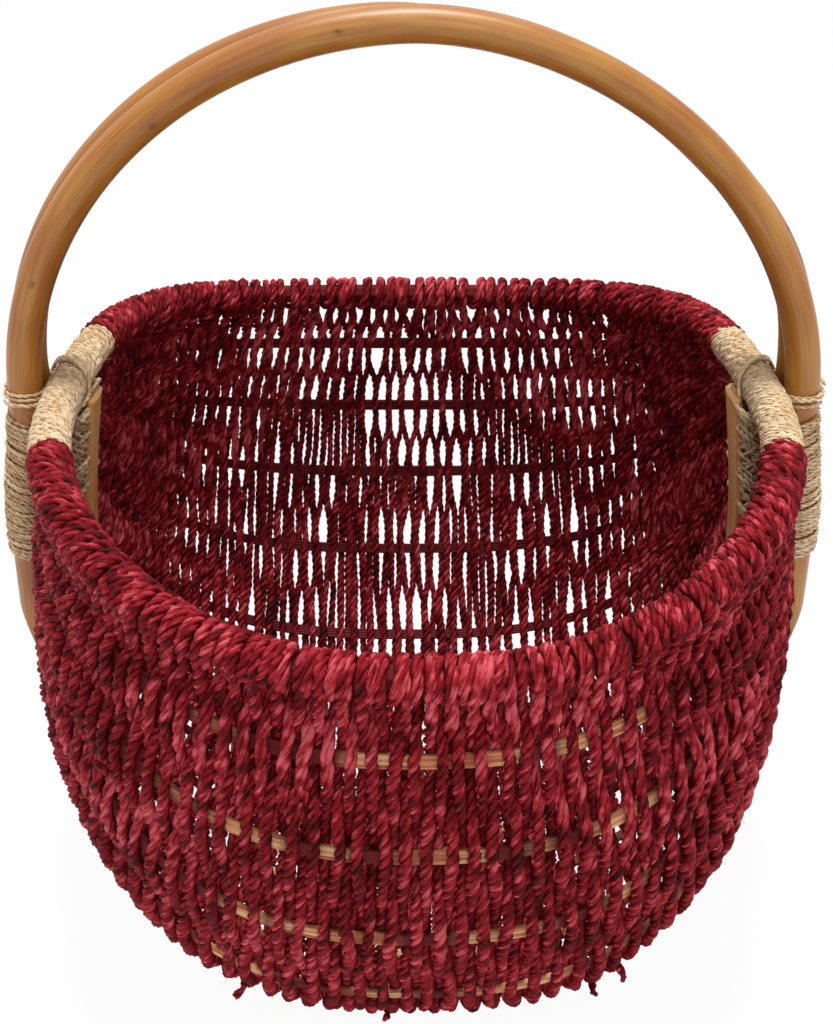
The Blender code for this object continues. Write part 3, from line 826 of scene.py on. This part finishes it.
def stained_cane(name, tones):
    """The rim's cane, dark and dull red: partly the dye of its wraps, partly painted shade, as it shows
    only in the shadow between them.
    """
    colours = (tones.stained, tones.stained, tones.stained_light)
    return cane_material(name, colours, tones.stained, roughness=0.7)


def splint_cane(name, tones):
    """Flat split cane with its skin on: a faint gloss."""
    colours = (tones.splint_dark, tones.splint_mid, tones.splint_light)
    return cane_material(name, colours, tones.cane_scar, roughness=0.5, coat=0.1)


def made_material(make, context):
    """The basket's material that this function makes, made when it is first asked for."""
    name = make.__name__.replace("_", " ")
    return bpy.data.materials.get(name) or make(name, context.scene.basket_colours)


# The cord's route

def pass_stations(count):
    """For each pass: its station at the front rim, the keel and the back rim, evenly spaced there."""
    shares = (np.arange(count) + 0.5) / count
    stations = np.linspace(-1.0, 1.0, STATION_POINTS)
    x = station_x(stations)
    found = []
    for side in (-1, 1):
        points, along = rim_half(side)
        distance = np.interp(x, points[:, 0], along)
        found.append(np.interp(distance[0] + shares * (distance[-1] - distance[0]), distance, stations))
    return found[0], shares * 2 - 1, found[1]


def rim_distance(side, station):
    """How far along the rim a station lies from the left ear."""
    points, along = rim_half(side)
    return np.interp(station_x(station), points[:, 0], along)


def pass_places(number, stations, share):
    """Stations of one pass at shares of its way, and the step to them from one pass to the next."""
    front, keel, back = stations
    weight = np.sin(math.pi * share) ** KEEL_PULL
    following = min(number + 1, len(keel) - 1)
    before = max(number - 1, 0)

    def blended(at_front, at_keel, at_back):
        return weight * at_keel + (1 - weight) * np.where(share < 0.5, at_front, at_back)

    station = blended(front[number], keel[number], back[number])
    step = blended(*(place[following] - place[before] for place in (front, keel, back)))
    return station, step / (following - before)


def opening(share, from_middle, near_rim, patch):
    """How far passes draw together in pairs and open the wall: in the middle of the back, in patches."""
    by_place = (1 - ramp(from_middle, OPEN_HALF_WIDTH, OPEN_EASE)) * np.interp(share, *OPEN_BY_SHARE)
    return by_place * np.clip(OPEN_MEAN + OPEN_BY_PATCH * patch + OPEN_BELOW_RIM * near_rim, 0.0, OPEN_MOST)


def wall_route(number, stations, sizes, patches, rng):
    """One pass of cord from the front rim to the back rim, over and under the ribs by turns.

    Also returns the distances along the front and the back rim at which it meets them, and how full
    the cord is. Where two cords lie together, they are drawn thin and leave a gap beside them.
    """
    knots = np.array([0.0] + rib_shares() + [1.0])
    phase = np.linspace(0, len(knots) - 1, (len(knots) - 1) * STEPS_PER_CROSSING + 1)
    share = np.interp(phase, np.arange(len(knots)), knots)
    station, station_step = pass_places(number, stations, share)
    point, sideways, outward = on_wall(station, share)
    spacing = np.linalg.norm(sideways, axis=1) * station_step
    sideways = unit(sideways)
    swing = -np.cos(math.pi * (phase + number))
    held = np.abs(swing)
    from_middle = np.abs(point[:, 0])
    near_rim = ramp(share, NEAR_RIM_SHARE, EASE)
    patch = sampled(patches, 2 * phase + 0.5, (station + 1) / 2 * (PATCHES_ACROSS - 2))[:, 0]
    openness = opening(share, from_middle, near_rim, patch)
    closeness = PAIR_CLOSENESS + PAIR_WANDER * smooth_noise(len(phase), 13, rng)
    pairing = -0.5 * spacing * openness * closeness
    looser = 1 - PAIR_LOOSER_ON_RIB * held ** 4 * (1 - near_rim)
    blunt = PAIR_REACH * np.sign(swing) * held ** PAIR_BLUNTNESS * looser
    fullness = np.interp(share, *FULL_BY_SHARE) - THINNER_OPEN * openness
    fullness = fullness + FULLER_AT_SIDE * ramp(from_middle, SIDE_HALF_WIDTH, EASE)
    swing_depth = (RIB_THICKNESS + PRESSED_ON_RIB * sizes.cord_diameter) / 2
    depth = swing_depth * (1 - FLATTER_AT_EAR * np.abs(station) ** 3)
    drift = CORD_DRIFT * smooth_noise(len(phase), 9, rng) * (DRIFT_OFF_RIBS + held)
    lift = CORD_LIFT * smooth_noise(len(phase), 7, rng)
    shift = blunt * pairing + drift
    path = point + outward * (swing * depth + lift)[:, None] - sideways * shift[:, None]
    rest_on_floor(path, ABOVE_FLOOR * sizes.cord_diameter)
    ends = [float(rim_distance(side, station[end]) - shift[end]) for side, end in ((-1, 0), (1, -1))]
    return path, ends, fullness


def rest_on_floor(path, lowest):
    """Lifts what lies below a height to it, with a soft bend."""
    above = path[:, 2] - lowest
    path[:, 2] = lowest + (above + np.sqrt(above ** 2 + FLOOR_BEND ** 2)) / 2


def rim_turn(side, start, end, outside_first, over, radius):
    """The cord's turn at the rim: nearly twice round the hoop, or a hairpin inside the sisal."""
    first = RIM_TURN_START if outside_first else 180.0 - RIM_TURN_START
    turned = RIM_TURN if over else -HAIRPIN_TURN
    if not outside_first:
        turned = -turned
    steps = max(int(abs(turned) / DEGREES_PER_STEP), 6)
    angles = np.radians(np.linspace(first, first + turned, steps + 1))
    share = np.linspace(0.0, 1.0, len(angles))
    even = share - RIM_SLANT * np.sin(2 * math.pi * share) * over
    centre, outward, upward = rim_frame(side, start + (end - start) * even)
    reach = radius if over else HAIRPIN_REACH * radius
    return centre + reach * (outward * np.cos(angles)[:, None] + upward * np.sin(angles)[:, None])


def cord_route(sizes):
    """The cord's path, the index at which each pass begins, where it wraps the rim (1 there, where it is
    painted paler, partly for wear and partly as painted highlight) and its fullness.
    """
    rng = np.random.default_rng(7)
    patches = rng.uniform(-1, 1, (4 * len(RIB_PLACES) + 8, PATCHES_ACROSS, 1))
    front_length = rim_half(-1)[1][-1]
    count = int(round((front_length - 2 * PASSES_FROM_EAR) / sizes.pass_spacing / 2)) * 2
    stations = pass_stations(count)
    radius = HOOP_RADIUS + OFF_HOOP * sizes.cord_diameter
    routes = [wall_route(number, stations, sizes, patches, rng) for number in range(count)]
    whole = []
    full = []
    for number, (path, ends, fullness) in enumerate(routes):
        forward = number % 2 == 0
        whole.append(path if forward else path[::-1])
        full.append(fullness if forward else fullness[::-1])
        if number == count - 1:
            break
        side, place, covered = (1, 1, RIM_WIND_BACK) if forward else (-1, 0, RIM_WIND_FRONT)
        start = ends[place]
        end = routes[number + 1][1][place]
        total = rim_half(side)[1][-1]
        over = covered < (start + end) / 2 < total - covered
        whole.append(rim_turn(side, start, end, not forward, over, radius)[1:-1])
        full.append(np.ones(len(whole[-1])))
    lengths = [len(part) for part in whole]
    begins = np.cumsum([0] + lengths)[0:-1:2]
    # 1 where the cord wraps the rim: there its lay is longer and it is painted paler, for wear and as
    #                                 painted highlight
    rim_wear_and_highlight = np.concatenate([np.full(size, index % 2) for index, size in enumerate(lengths)])
    return np.concatenate(whole), begins, rim_wear_and_highlight.astype(float), np.concatenate(full)


class BASKET_OT_weave(bpy.types.Operator):
    """Weaves the wall: one cord, over and under the ribs by turns, that wraps the rim wherever it turns"""
    bl_idname = "basket.weave"
    bl_label = "Weave the wall"

    def execute(self, context):
        sizes = context.scene.basket_sizes
        rng = np.random.default_rng(11)
        route, begins, rim_wear_and_highlight, fullness = cord_route(sizes)
        rough_along = length_along(route)
        path, along = even_path(route, sizes.cord_lay / STEPS_PER_LAY)
        place = along / along[-1] * rough_along[-1]
        # On the rim the lay is longer and the cord is painted paler, partly for wear and partly as painted
        # highlight
        rim_wear_and_highlight = np.interp(place, rough_along, rim_wear_and_highlight)
        fullness = np.interp(place, rough_along, fullness)
        lay = sizes.cord_lay * (1 + LONGER_LAY_ON_RIM * rim_wear_and_highlight)
        plies = ply_rings(path, along, sizes.cord_diameter, lay, rng, fullness, 3)
        marks = np.interp(rough_along[begins] / rough_along[-1] * along[-1], along, np.arange(len(along)))
        marks = np.append(marks.astype(int), len(along) - 1)
        passes = len(begins)
        for piece in range(math.ceil(passes / sizes.passes_per_piece)):
            first = marks[min(piece * sizes.passes_per_piece, passes)]
            last = marks[min((piece + 1) * sizes.passes_per_piece, passes)]
            tubes = [(ply[first:last + 1], along[first:last + 1]) for ply in plies]
            rows = 4 * sizes.passes_per_piece
            item = tubes_object(f"wall_cord_{piece + 1:02d}", tubes, rows, rim_wear_and_highlight[first:last + 1])
            finished(item, made_material(dyed_grass_cord, context), "crimson_cord", *ALL_WALL_NODES)
        return {"FINISHED"}


def box_section(width, thickness, rounding, sides=16):
    """A rounded rectangle's points across and through."""
    angles = np.linspace(0, 2 * math.pi, sides, endpoint=False)
    across = signed_power(np.cos(angles), rounding) * width / 2
    return across, signed_power(np.sin(angles), rounding) * thickness / 2


def strips_section(strips):
    """Points round a row of fine strips side by side, as shares of its width and thickness."""
    place = np.arange(4 * strips + 1) / (4 * strips)
    ridge = GROOVE_SHARE + (0.5 - GROOVE_SHARE) * np.abs(np.sin(strips * math.pi * place))
    across = np.concatenate([place - 0.5, 0.5 - place])
    return across, np.concatenate([ridge, -ridge])


class BASKET_OT_ribs(bpy.types.Operator):
    """Lays the split-cane ribs from ear to ear"""
    bl_idname = "basket.ribs"
    bl_label = "Lay the ribs"

    def execute(self, context):
        rng = np.random.default_rng(3)
        count = len(RIB_PLACES)
        names = [f"rib_front_{index + 1}" for index in range(count)] + ["rib_keel"]
        names += [f"rib_back_{index + 1}" for index in reversed(range(count))]
        station = np.linspace(-1, 1, RIB_RINGS)
        noise = partial(smooth_noise, RIB_RINGS, rng=rng)
        side, through = strips_section(STRIPS_PER_RIB)
        for name, share in zip(names, rib_shares()):
            point, _, outward = on_wall(station, np.full_like(station, share))
            across = unit(np.cross(unit(np.gradient(point, axis=0)), outward))
            width = RIB_WIDTH + (RIB_END_WIDTH - RIB_WIDTH) * station ** 2
            width = width * (1 + RIB_WANDER * noise(9))
            rings = (point[:, None] + across[:, None] * side[:, None] * width[:, None, None]
                     + outward[:, None] * (through * RIB_THICKNESS)[:, None])
            item = tubes_object(name + "_cane", [(rings, length_along(point))], rows_per_tube=6)
            from_middle = np.abs(point[:, 0]) + 0.02 * noise(6)
            # Front ribs are bare in the middle and stained beyond; back ribs are dark red all along,
            # stained and painted shade inside the basket
            dyed_and_shaded = ramp(from_middle, BARE_HALF_WIDTH, BARE_EASE) if share <= 0.5 else np.ones(RIB_RINGS)
            spots = np.clip(2.5 * noise(3), 0.0, 1.0)
            set_tone(item, "mark", np.repeat(np.maximum(dyed_and_shaded, spots), len(side)))
            finished(item, made_material(split_cane, context), "split_cane", name)
        return {"FINISHED"}


def cane_line(rank):
    """The centre line of a handle cane, its radius, and its length up to each point, from left to right.

    Rank is -1 for the front cane and 1 for the back cane, which bulges a little beyond it.
    """
    depth = np.linspace(LEG_LENGTH, 0.0, HANGING_POINTS)[:-1]
    left, _ = leg_line(-1, depth)
    right, _ = leg_line(1, depth)
    angle = np.linspace(math.pi, 0.0, ARCH_POINTS)
    is_left = angle > math.pi / 2
    power = np.where(is_left, HANDLE_POWER_LEFT, HANDLE_POWER_RIGHT)
    left_bulge = BACK_CANE_SPREAD_LEFT * np.abs(np.sin(2 * angle)) ** BACK_CANE_FULLNESS
    right_bulge = BACK_CANE_SPREAD_RIGHT * np.sin(4 * angle) ** 2 * (angle < math.pi / 4)
    bulge = np.where(is_left, left_bulge, right_bulge) * (rank > 0)
    top = HANDLE_RISE - BACK_CANE_DROP * (rank > 0)
    height_share = np.abs(np.sin(angle)) ** (2 / power)
    x = LEG_SEAT * signed_power(np.cos(angle), 2 / power) + bulge * np.cos(angle)
    z = EAR_HEIGHT + top * height_share + bulge * np.sin(angle)
    line = np.concatenate([left, np.stack([x, np.zeros_like(x), z], axis=-1), right[::-1]])
    share = np.concatenate([np.zeros(len(left)), height_share, np.zeros(len(right))])
    radius = CANE_RADIUS + (CANE_TOP_RADIUS - CANE_RADIUS) * share
    line[:, 1] = rank * radius * CANE_PRESS
    along = length_along(line)
    even = np.linspace(0, along[-1], int(along[-1] / CANE_STEP))
    return interpolated(even, along, line), np.interp(even, along, radius), even


def shaved(rings):
    """Cuts the outer side of both leg ends to a long slope, and says which points lie on the cut."""
    cut = np.zeros(rings.shape[:2])
    for side in (-1, 1):
        place, outward = leg_line(side, np.array([LEG_LENGTH - SHAVE_LENGTH, LEG_LENGTH]))
        start = place[0] + outward[0] * CANE_RADIUS
        end = place[1] + outward[1] * (SHAVE_TIP - CANE_RADIUS)
        slope = unit(end - start)
        normal = side * np.array([-slope[2], 0.0, slope[0]])
        above = (rings - start) @ normal
        on_leg = rings[..., 0] * side > SHAVE_BEYOND_X
        low = on_leg & (rings[..., 2] < start[2] + SHAVE_EASE) & (above > 0)
        rings[low] -= above[low][:, None] * normal
        cut[low] = 1.0
    return cut


def scar_marks(along, scars):
    """How dark each point of a cane is from leaf scars, which lie at a length along it and an angle."""
    angles = np.linspace(0, 2 * math.pi, CANE_SIDES, endpoint=False)
    marks = np.zeros((len(along), CANE_SIDES))
    for place, angle in scars:
        turned = (angles - angle + math.pi) % (2 * math.pi) - math.pi
        apart = np.hypot(along[:, None] - place, turned * CANE_RADIUS * SCAR_NARROWING)
        marks = np.maximum(marks, np.exp(-(apart / SCAR_RADIUS) ** 2))
    return marks


class BASKET_OT_handle(bpy.types.Operator):
    """Bends the two canes of the handle, with small scars and shaved leg ends"""
    bl_idname = "basket.handle"
    bl_label = "Bend the handle"

    def execute(self, context):
        for name, rank, scars in (
                ("handle_cane_front", -1, FRONT_SCARS), ("handle_cane_back", 1, BACK_SCARS)):
            rng = np.random.default_rng(20 + rank)
            line, radius, along = cane_line(rank)
            radius = radius * (1 + CANE_WAVES * smooth_noise(len(line), 25, rng))
            first = np.tile((0.0, 1.0, 0.0), (len(line), 1))
            rings = tube_rings(line, radius, CANE_SIDES, first)
            cut = shaved(rings)
            item = tubes_object(name + "_bent", [(rings, along)], rows_per_tube=12)
            set_tone(item, "mark", np.maximum(scar_marks(along, scars), CUT_MARK * cut))
            finished(item, made_material(lacquered_rattan_cane, context), "rattan", name)
        return {"FINISHED"}


class BASKET_OT_splints(bpy.types.Operator):
    """Sets the flat canes inside the wall that the legs are lashed to"""
    bl_idname = "basket.splints"
    bl_label = "Set the splints"

    def execute(self, context):
        depth = np.linspace(SPLINT_TUCK, SPLINT_BELOW, HANGING_POINTS)
        across, through = box_section(SPLINT_WIDTH, SPLINT_THICKNESS, SPLINT_ROUNDING)
        for word, side in (("left", -1), ("right", 1)):
            centre, outward = beside_wall(side, -SPLINT_STANDOFF, depth)
            wide = np.tile((0.0, 1.0, 0.0), (len(depth), 1))
            rings = centre[:, None] + wide[:, None] * across[:, None] + outward[:, None] * through[:, None]
            item = tubes_object(f"splint_{word}", [(rings, length_along(centre))], rows_per_tube=4)
            finished(item, made_material(splint_cane, context), "split_cane", f"inner_splint_{word}")
        return {"FINISHED"}


def stray_fibres(path, count, stand, longest, rng):
    """Fibres that start at a distance from a cord's line, on its surface, and bend away."""
    tangents = unit(np.gradient(path, axis=0))
    share = np.linspace(0, 1, 5)[:, None]
    taper = STRAY_RADIUS * (1 - 0.7 * share[:, 0])
    tubes = []
    for _ in range(count):
        index = rng.integers(3, len(path) - 3)
        away = unit(np.cross(tangents[index], rng.normal(size=3)))
        start = path[index] + away * stand
        if start[2] < STRAYS_LOWEST:
            continue
        size = rng.uniform(0.3, 1.0) * longest
        lead = unit(tangents[index] * rng.choice((-1, 1)) + away * rng.uniform(0.25, 0.9))
        bend = rng.normal(size=3) * 0.3
        line = start + size * (lead * share + bend * share ** 2)
        tubes.append((tube_rings(line, taper, 4), length_along(line)))
    return tubes


def twine_object(name, paths, sizes, context, seed, *nodes, fine=1.0):
    """Two-ply twine along each path as one piece, and its stray fibres as another. Fine scales its
    thickness.
    """
    rng = np.random.default_rng(seed)
    diameter = fine * sizes.twine_diameter
    lines = [even_path(path, sizes.twine_lay / STEPS_PER_LAY) for path in paths]
    tubes = []
    for path, along in lines:
        tubes.extend((rings, along) for rings in ply_rings(path, along, diameter, sizes.twine_lay, rng))
    strays = []
    for path, along in lines:
        count = int(along[-1] * sizes.strays)
        strays.extend(stray_fibres(path, count, ON_SURFACE * diameter, TWINE_STRAY_LENGTH, rng))
    material = made_material(natural_sisal_twine, context)
    finished(tubes_object(name + "_strays", strays), material, "sisal")
    longest = max(along[-1] for _, along in lines)
    item = tubes_object(name, tubes, max(1, int(longest / BAKE_ROW_LENGTH)))
    return finished(item, material, "sisal", *nodes)


def ear_winding(side, sizes, rng):
    """Twine wound close round the rim, from behind an ear to its front."""
    steps = int((RIM_WIND_FRONT + RIM_WIND_BACK) / sizes.twine_spacing * RIM_STEPS_PER_TURN)
    place = np.linspace(-RIM_WIND_BACK, RIM_WIND_FRONT, steps)
    place = place + SIDE_WANDER * smooth_noise(steps, 15, rng)
    frames = []
    for half in (-1, 1):
        from_ear = np.clip(-half * place, LEAST_FROM_EAR, None)
        total = rim_half(half)[1][-1]
        frames.append(rim_frame(half, from_ear if side < 0 else total - from_ear))
    is_front = (place > 0)[:, None]
    centre, outward, upward = [np.where(is_front, front, back) for front, back in zip(*frames)]
    angle = np.arange(steps) / RIM_STEPS_PER_TURN * 2 * math.pi
    radius = RIM_RADIUS - sizes.twine_diameter / 2 + REACH_WANDER * smooth_noise(steps, 12, rng)
    return centre + (outward * np.cos(angle)[:, None] + upward * np.sin(angle)[:, None]) * radius[:, None]


def stadium(share, half_span, radius):
    """Points of a loop with two straight sides, as distances out and across, by share of the loop."""
    straight = 2 * half_span
    half_loop = straight + math.pi * radius
    run = (share % 1.0) * 2 * half_loop
    second = run >= half_loop
    run = run - half_loop * second
    angle = np.maximum(run - straight, 0.0) / radius
    turned = np.where(second, -1.0, 1.0)
    across = np.minimum(run, straight) - half_span + radius * np.sin(angle)
    return turned * radius * np.cos(angle), turned * across


def hanging_winding(line, top, run, spacing, half_span, radius, rng, slack, tilt):
    """Twine wound from the top down round what hangs along a line. Tilt lowers the turns' inner side."""
    steps = int(run / spacing * HANGING_STEPS_PER_TURN)
    step = np.arange(steps)
    out, across = stadium(step / HANGING_STEPS_PER_TURN, half_span, radius)
    depth = top + run * step / steps + slack * smooth_noise(steps, 22, rng) - tilt * out / radius
    centre, outward = line(depth)
    swell = 1 + slack / radius * smooth_noise(steps, 13, rng)
    none = np.zeros(steps)
    return centre + outward * (out * swell)[:, None] + np.stack([none, across * swell, none], axis=-1)


def over_rim(side, shift, sizes):
    """One strand that ties a leg to the splint: from the leg's lashing, over the rim and down inside.

    Its points outside and inside are given one by one, as distances out from the ear, across and down.
    """
    def spot(out, across, down):
        return (side * (RIM_HALF_WIDTH + out), across, EAR_HEIGHT - down)

    reach = RIM_RADIUS + ON_SURFACE * sizes.twine_diameter
    path = [spot(0.030, -0.014, 0.016 + 0.2 * shift), spot(0.021, 0.0205 + shift, 0.010)]
    for degrees in range(15, 196, 15):
        angle = math.radians(degrees)
        across = (0.021 + shift) * (1 - (degrees - 15) / 150)
        path.append(spot(reach * math.cos(angle), across, -reach * math.sin(angle)))
    path += [spot(-0.0105, shift - 0.010, 0.014), spot(-0.0095, shift - 0.006, 0.030)]
    return np.array(path)


class BASKET_OT_lashings(bpy.types.Operator):
    """Winds sisal twine round the rim at the ears, round the legs and round the splints"""
    bl_idname = "basket.lashings"
    bl_label = "Wind the lashings"

    def execute(self, context):
        sizes = context.scene.basket_sizes
        for seed, (word, side) in enumerate((("left", -1), ("right", 1))):
            rng = np.random.default_rng(40 + seed)
            twine_object(f"rim_twine_{word}", [ear_winding(side, sizes, rng)], sizes, context, 50 + seed,
                         f"rim_sisal_{word}")
            twine_object(f"leg_twine_{word}", self.leg_paths(side, sizes, rng), sizes, context, 60 + seed,
                         f"leg_lashing_{word}", fine=0.85)
            twine_object(f"splint_twine_{word}", self.splint_paths(side, sizes, rng), sizes, context,
                         70 + seed, f"splint_lashing_{word}", fine=0.9)
            ties = [over_rim(side, TIE_SPACING * strand, sizes) for strand in range(-1, 4)]
            twine_object(f"ear_ties_{word}", ties, sizes, context, 80 + seed, fine=0.8)
        return {"FINISHED"}

    def leg_paths(self, side, sizes, rng):
        """The winding that holds both canes of a leg together, and one loose loop above it."""
        line = partial(leg_line, side)
        twine = sizes.twine_diameter
        return [
            hanging_winding(line, LEG_WIND_TOP, LEG_WIND_LENGTH, 0.8 * sizes.twine_spacing,
                            CANE_RADIUS, CANE_RADIUS + 0.4 * twine, rng, slack=0.0006, tilt=0.003),
            hanging_winding(line, LOOSE_LOOP_TOP, LOOSE_LOOP_LENGTH, 0.9 * sizes.twine_spacing,
                            CANE_RADIUS, CANE_RADIUS + 0.6 * twine, rng, slack=0.0010, tilt=0.001)]

    def splint_paths(self, side, sizes, rng):
        """Two layers of winding round a splint, the outer one wide apart and tilted the other way."""
        line = partial(beside_wall, side, SPLINT_WIND_STANDOFF)
        return [
            hanging_winding(line, SPLINT_WIND_TOP, SPLINT_WIND_LENGTH + SPLINT_WIND_OVERLAP,
                            0.9 * sizes.twine_spacing, *INNER_LOOP, rng, slack=0.0014, tilt=0.006),
            hanging_winding(line, SPLINT_WIND_TOP, SPLINT_WIND_LENGTH,
                            1.3 * sizes.twine_spacing, *OUTER_LOOP, rng, slack=0.0020, tilt=-0.007)]


class BASKET_OT_fibres(bpy.types.Operator):
    """Adds the loose fibres and cut ends that stand out of the cord"""
    bl_idname = "basket.fibres"
    bl_label = "Fray the cord"

    def execute(self, context):
        sizes = context.scene.basket_sizes
        rng = np.random.default_rng(5)
        path, _ = even_path(cord_route(sizes)[0], sizes.cord_lay / STEPS_PER_LAY)
        material = made_material(dyed_grass_cord, context)
        stand = ON_SURFACE * sizes.cord_diameter
        fibres = stray_fibres(path, sizes.fibres, stand, CORD_STRAY_LENGTH, rng)
        finished(tubes_object("loose_fibres", fibres), material, "crimson_cord")
        finished(tubes_object("cord_tails", self.tails(sizes, path, rng)), material, "crimson_cord")
        return {"FINISHED"}

    def tails(self, sizes, path, rng):
        """Short cut ends of cord that stand out of the wall at random places."""
        tangents = unit(np.gradient(path, axis=0))
        share = np.linspace(0, 1, 12)[:, None]
        lowest, highest = TAIL_HEIGHTS
        tubes = []
        while len(tubes) < 2 * sizes.tails:
            index = rng.integers(10, len(path) - 10)
            point = path[index]
            if point[2] < lowest or point[2] > highest:
                continue
            outward = unit(point * (1, 1, 0.0) + (0, 0, -0.05))
            lead = unit(tangents[index] * rng.choice((-1, 1)) + outward * rng.uniform(0.3, 0.8))
            size = rng.uniform(*TAIL_LENGTHS)
            bend = rng.normal(size=3) * 0.25
            line = point + outward * TAIL_STAND + size * (lead * share + bend * share ** 2)
            if line[:, 2].min() < TAIL_LOWEST:
                continue
            even, along = even_path(line, TAIL_STEP)
            rings = ply_rings(even, along, sizes.cord_diameter * TAIL_FINENESS, sizes.cord_lay, rng)
            tubes.extend((ring, along) for ring in rings)
        return tubes


class BASKET_OT_hoop(bpy.types.Operator):
    """Gives the frame's own hoop, which shows only between the wraps, its dark red: partly the dye of the
    wraps, partly painted shade between them
    """
    bl_idname = "basket.hoop"
    bl_label = "Finish the hoop"

    def execute(self, context):
        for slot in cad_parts["rim_hoop"].material_slots:
            slot.material = made_material(stained_cane, context)
        return {"FINISHED"}


# Stage

def area_lamp(name, place, target, size, power):
    """A round soft lamp at a place, turned to a target."""
    data = bpy.data.lights.new(name, "AREA")
    data.shape = "DISK"
    data.size = size
    data.energy = power
    lamp = bpy.data.objects.new(name, data)
    lamp.location = place
    lamp.rotation_mode = "QUATERNION"
    lamp.rotation_quaternion = (Vector(target) - Vector(place)).to_track_quat("-Z", "Y")
    bpy.context.scene.collection.objects.link(lamp)


def white_world():
    """An even pale sky. What the camera, a reflection or a view through shows of it is plain white."""
    world = bpy.data.worlds.new("studio")
    bpy.context.scene.world = world
    world.use_nodes = True
    tree = world.node_tree
    background = tree.nodes["Background"]
    rays = add_node(tree, "ShaderNodeLightPath")
    seen = rays.outputs["Is Camera Ray"]
    for kind in ("Is Glossy Ray", "Is Transmission Ray"):
        either = add_node(tree, "ShaderNodeMath", {0: seen, 1: rays.outputs[kind]}, operation="MAXIMUM")
        seen = either.outputs[0]
    strength = add_node(tree, "ShaderNodeMix", {0: seen, 2: SKY_STRENGTH, 3: 1.0}, data_type="FLOAT")
    background.inputs["Color"].default_value = (1.0, 1.0, 1.0, 1.0)
    tree.links.new(strength.outputs[0], background.inputs["Strength"])


def floor_material(rgb):
    """Matt white paper. For the camera it glows to white, so that only a faint shadow shows."""
    material, tree, shader = new_material("white paper floor")
    set_inputs(shader, {"Base Color": (*rgb, 1.0), "Roughness": 0.9})
    rays = add_node(tree, "ShaderNodeLightPath")
    seen = add_node(tree, "ShaderNodeMath", {
        0: rays.outputs["Is Camera Ray"], 1: FLOOR_GLOW}, operation="MULTIPLY")
    glow = add_node(tree, "ShaderNodeEmission", {"Color": (1.0, 1.0, 1.0, 1.0), "Strength": 1.0})
    mixed = add_node(tree, "ShaderNodeMixShader", {
        0: seen.outputs[0], 1: shader.outputs["BSDF"], 2: glow.outputs["Emission"]})
    tree.links.new(mixed.outputs["Shader"], tree.nodes["Material Output"].inputs["Surface"])
    return material


def photo_camera():
    """The camera at the photograph's place and angle."""
    data = bpy.data.cameras.new("photo")
    data.sensor_width = SENSOR_MM
    data.lens = FOCAL_PX / PHOTO_HEIGHT * SENSOR_MM
    data.shift_y = -AXIS_ABOVE_MIDDLE_PX / PHOTO_HEIGHT
    data.clip_start = 0.01
    data.clip_end = 100.0
    forward = np.array([
        -math.sin(CAMERA_YAW) * math.cos(CAMERA_ELEVATION),
        math.cos(CAMERA_YAW) * math.cos(CAMERA_ELEVATION),
        -math.sin(CAMERA_ELEVATION)])
    level = np.array([math.cos(CAMERA_YAW), math.sin(CAMERA_YAW), 0.0])
    upright = np.cross(level, forward)
    right = math.cos(CAMERA_ROLL) * level + math.sin(CAMERA_ROLL) * upright
    up = -math.sin(CAMERA_ROLL) * level + math.cos(CAMERA_ROLL) * upright
    camera = bpy.data.objects.new("photo", data)
    turn = Matrix((right, up, -forward)).transposed().to_4x4()
    place = np.array(CAMERA_TARGET) - forward * CAMERA_DISTANCE
    camera.matrix_world = Matrix.Translation(place) @ turn
    bpy.context.scene.collection.objects.link(camera)
    bpy.context.scene.camera = camera


class BASKET_OT_stage(bpy.types.Operator):
    """Sets the white floor, the soft lamps and the camera"""
    bl_idname = "basket.stage"
    bl_label = "Set the stage"

    def execute(self, context):
        scene = context.scene
        scene.view_settings.view_transform = "Standard"
        corners = np.array([(-1, -1, 0), (1, -1, 0), (1, 1, 0), (-1, 1, 0)]) * FLOOR_REACH
        floor = mesh_object("floor", corners, np.array([[0, 1, 2, 3]]))
        floor.data.materials.append(floor_material(scene.basket_colours.floor))
        white_world()
        area_lamp("key", *KEY_LAMP)
        area_lamp("front", *FRONT_LAMP)
        photo_camera()
        return {"FINISHED"}


OPERATORS = (
    BASKET_OT_weave, BASKET_OT_ribs, BASKET_OT_handle, BASKET_OT_splints,
    BASKET_OT_lashings, BASKET_OT_fibres, BASKET_OT_hoop, BASKET_OT_stage)


class BASKET_PT_panel(bpy.types.Panel):
    """Lists the steps that make the basket"""
    bl_idname = "BASKET_PT_panel"
    bl_label = "Market basket"
    bl_space_type = "VIEW_3D"
    bl_region_type = "UI"
    bl_category = "Basket"

    def draw(self, context):
        layout = self.layout
        for group in (context.scene.basket_sizes, context.scene.basket_colours):
            for name in group.__annotations__:
                layout.prop(group, name)
        for operator in OPERATORS:
            layout.operator(operator.bl_idname)


CLASSES = (BasketSizes, BasketColours, *OPERATORS, BASKET_PT_panel)


def register():
    for item in CLASSES:
        bpy.utils.register_class(item)
    bpy.types.Scene.basket_sizes = PointerProperty(type=BasketSizes)
    bpy.types.Scene.basket_colours = PointerProperty(type=BasketColours)


def unregister():
    del bpy.types.Scene.basket_colours
    del bpy.types.Scene.basket_sizes
    for item in reversed(CLASSES):
        bpy.utils.unregister_class(item)


def main():
    register()
    bpy.ops.basket.weave()
    bpy.ops.basket.ribs()
    bpy.ops.basket.handle()
    bpy.ops.basket.splints()
    bpy.ops.basket.lashings()
    bpy.ops.basket.fibres()
    bpy.ops.basket.hoop()
    bpy.ops.basket.stage()


if __name__ == "__main__":
    main()
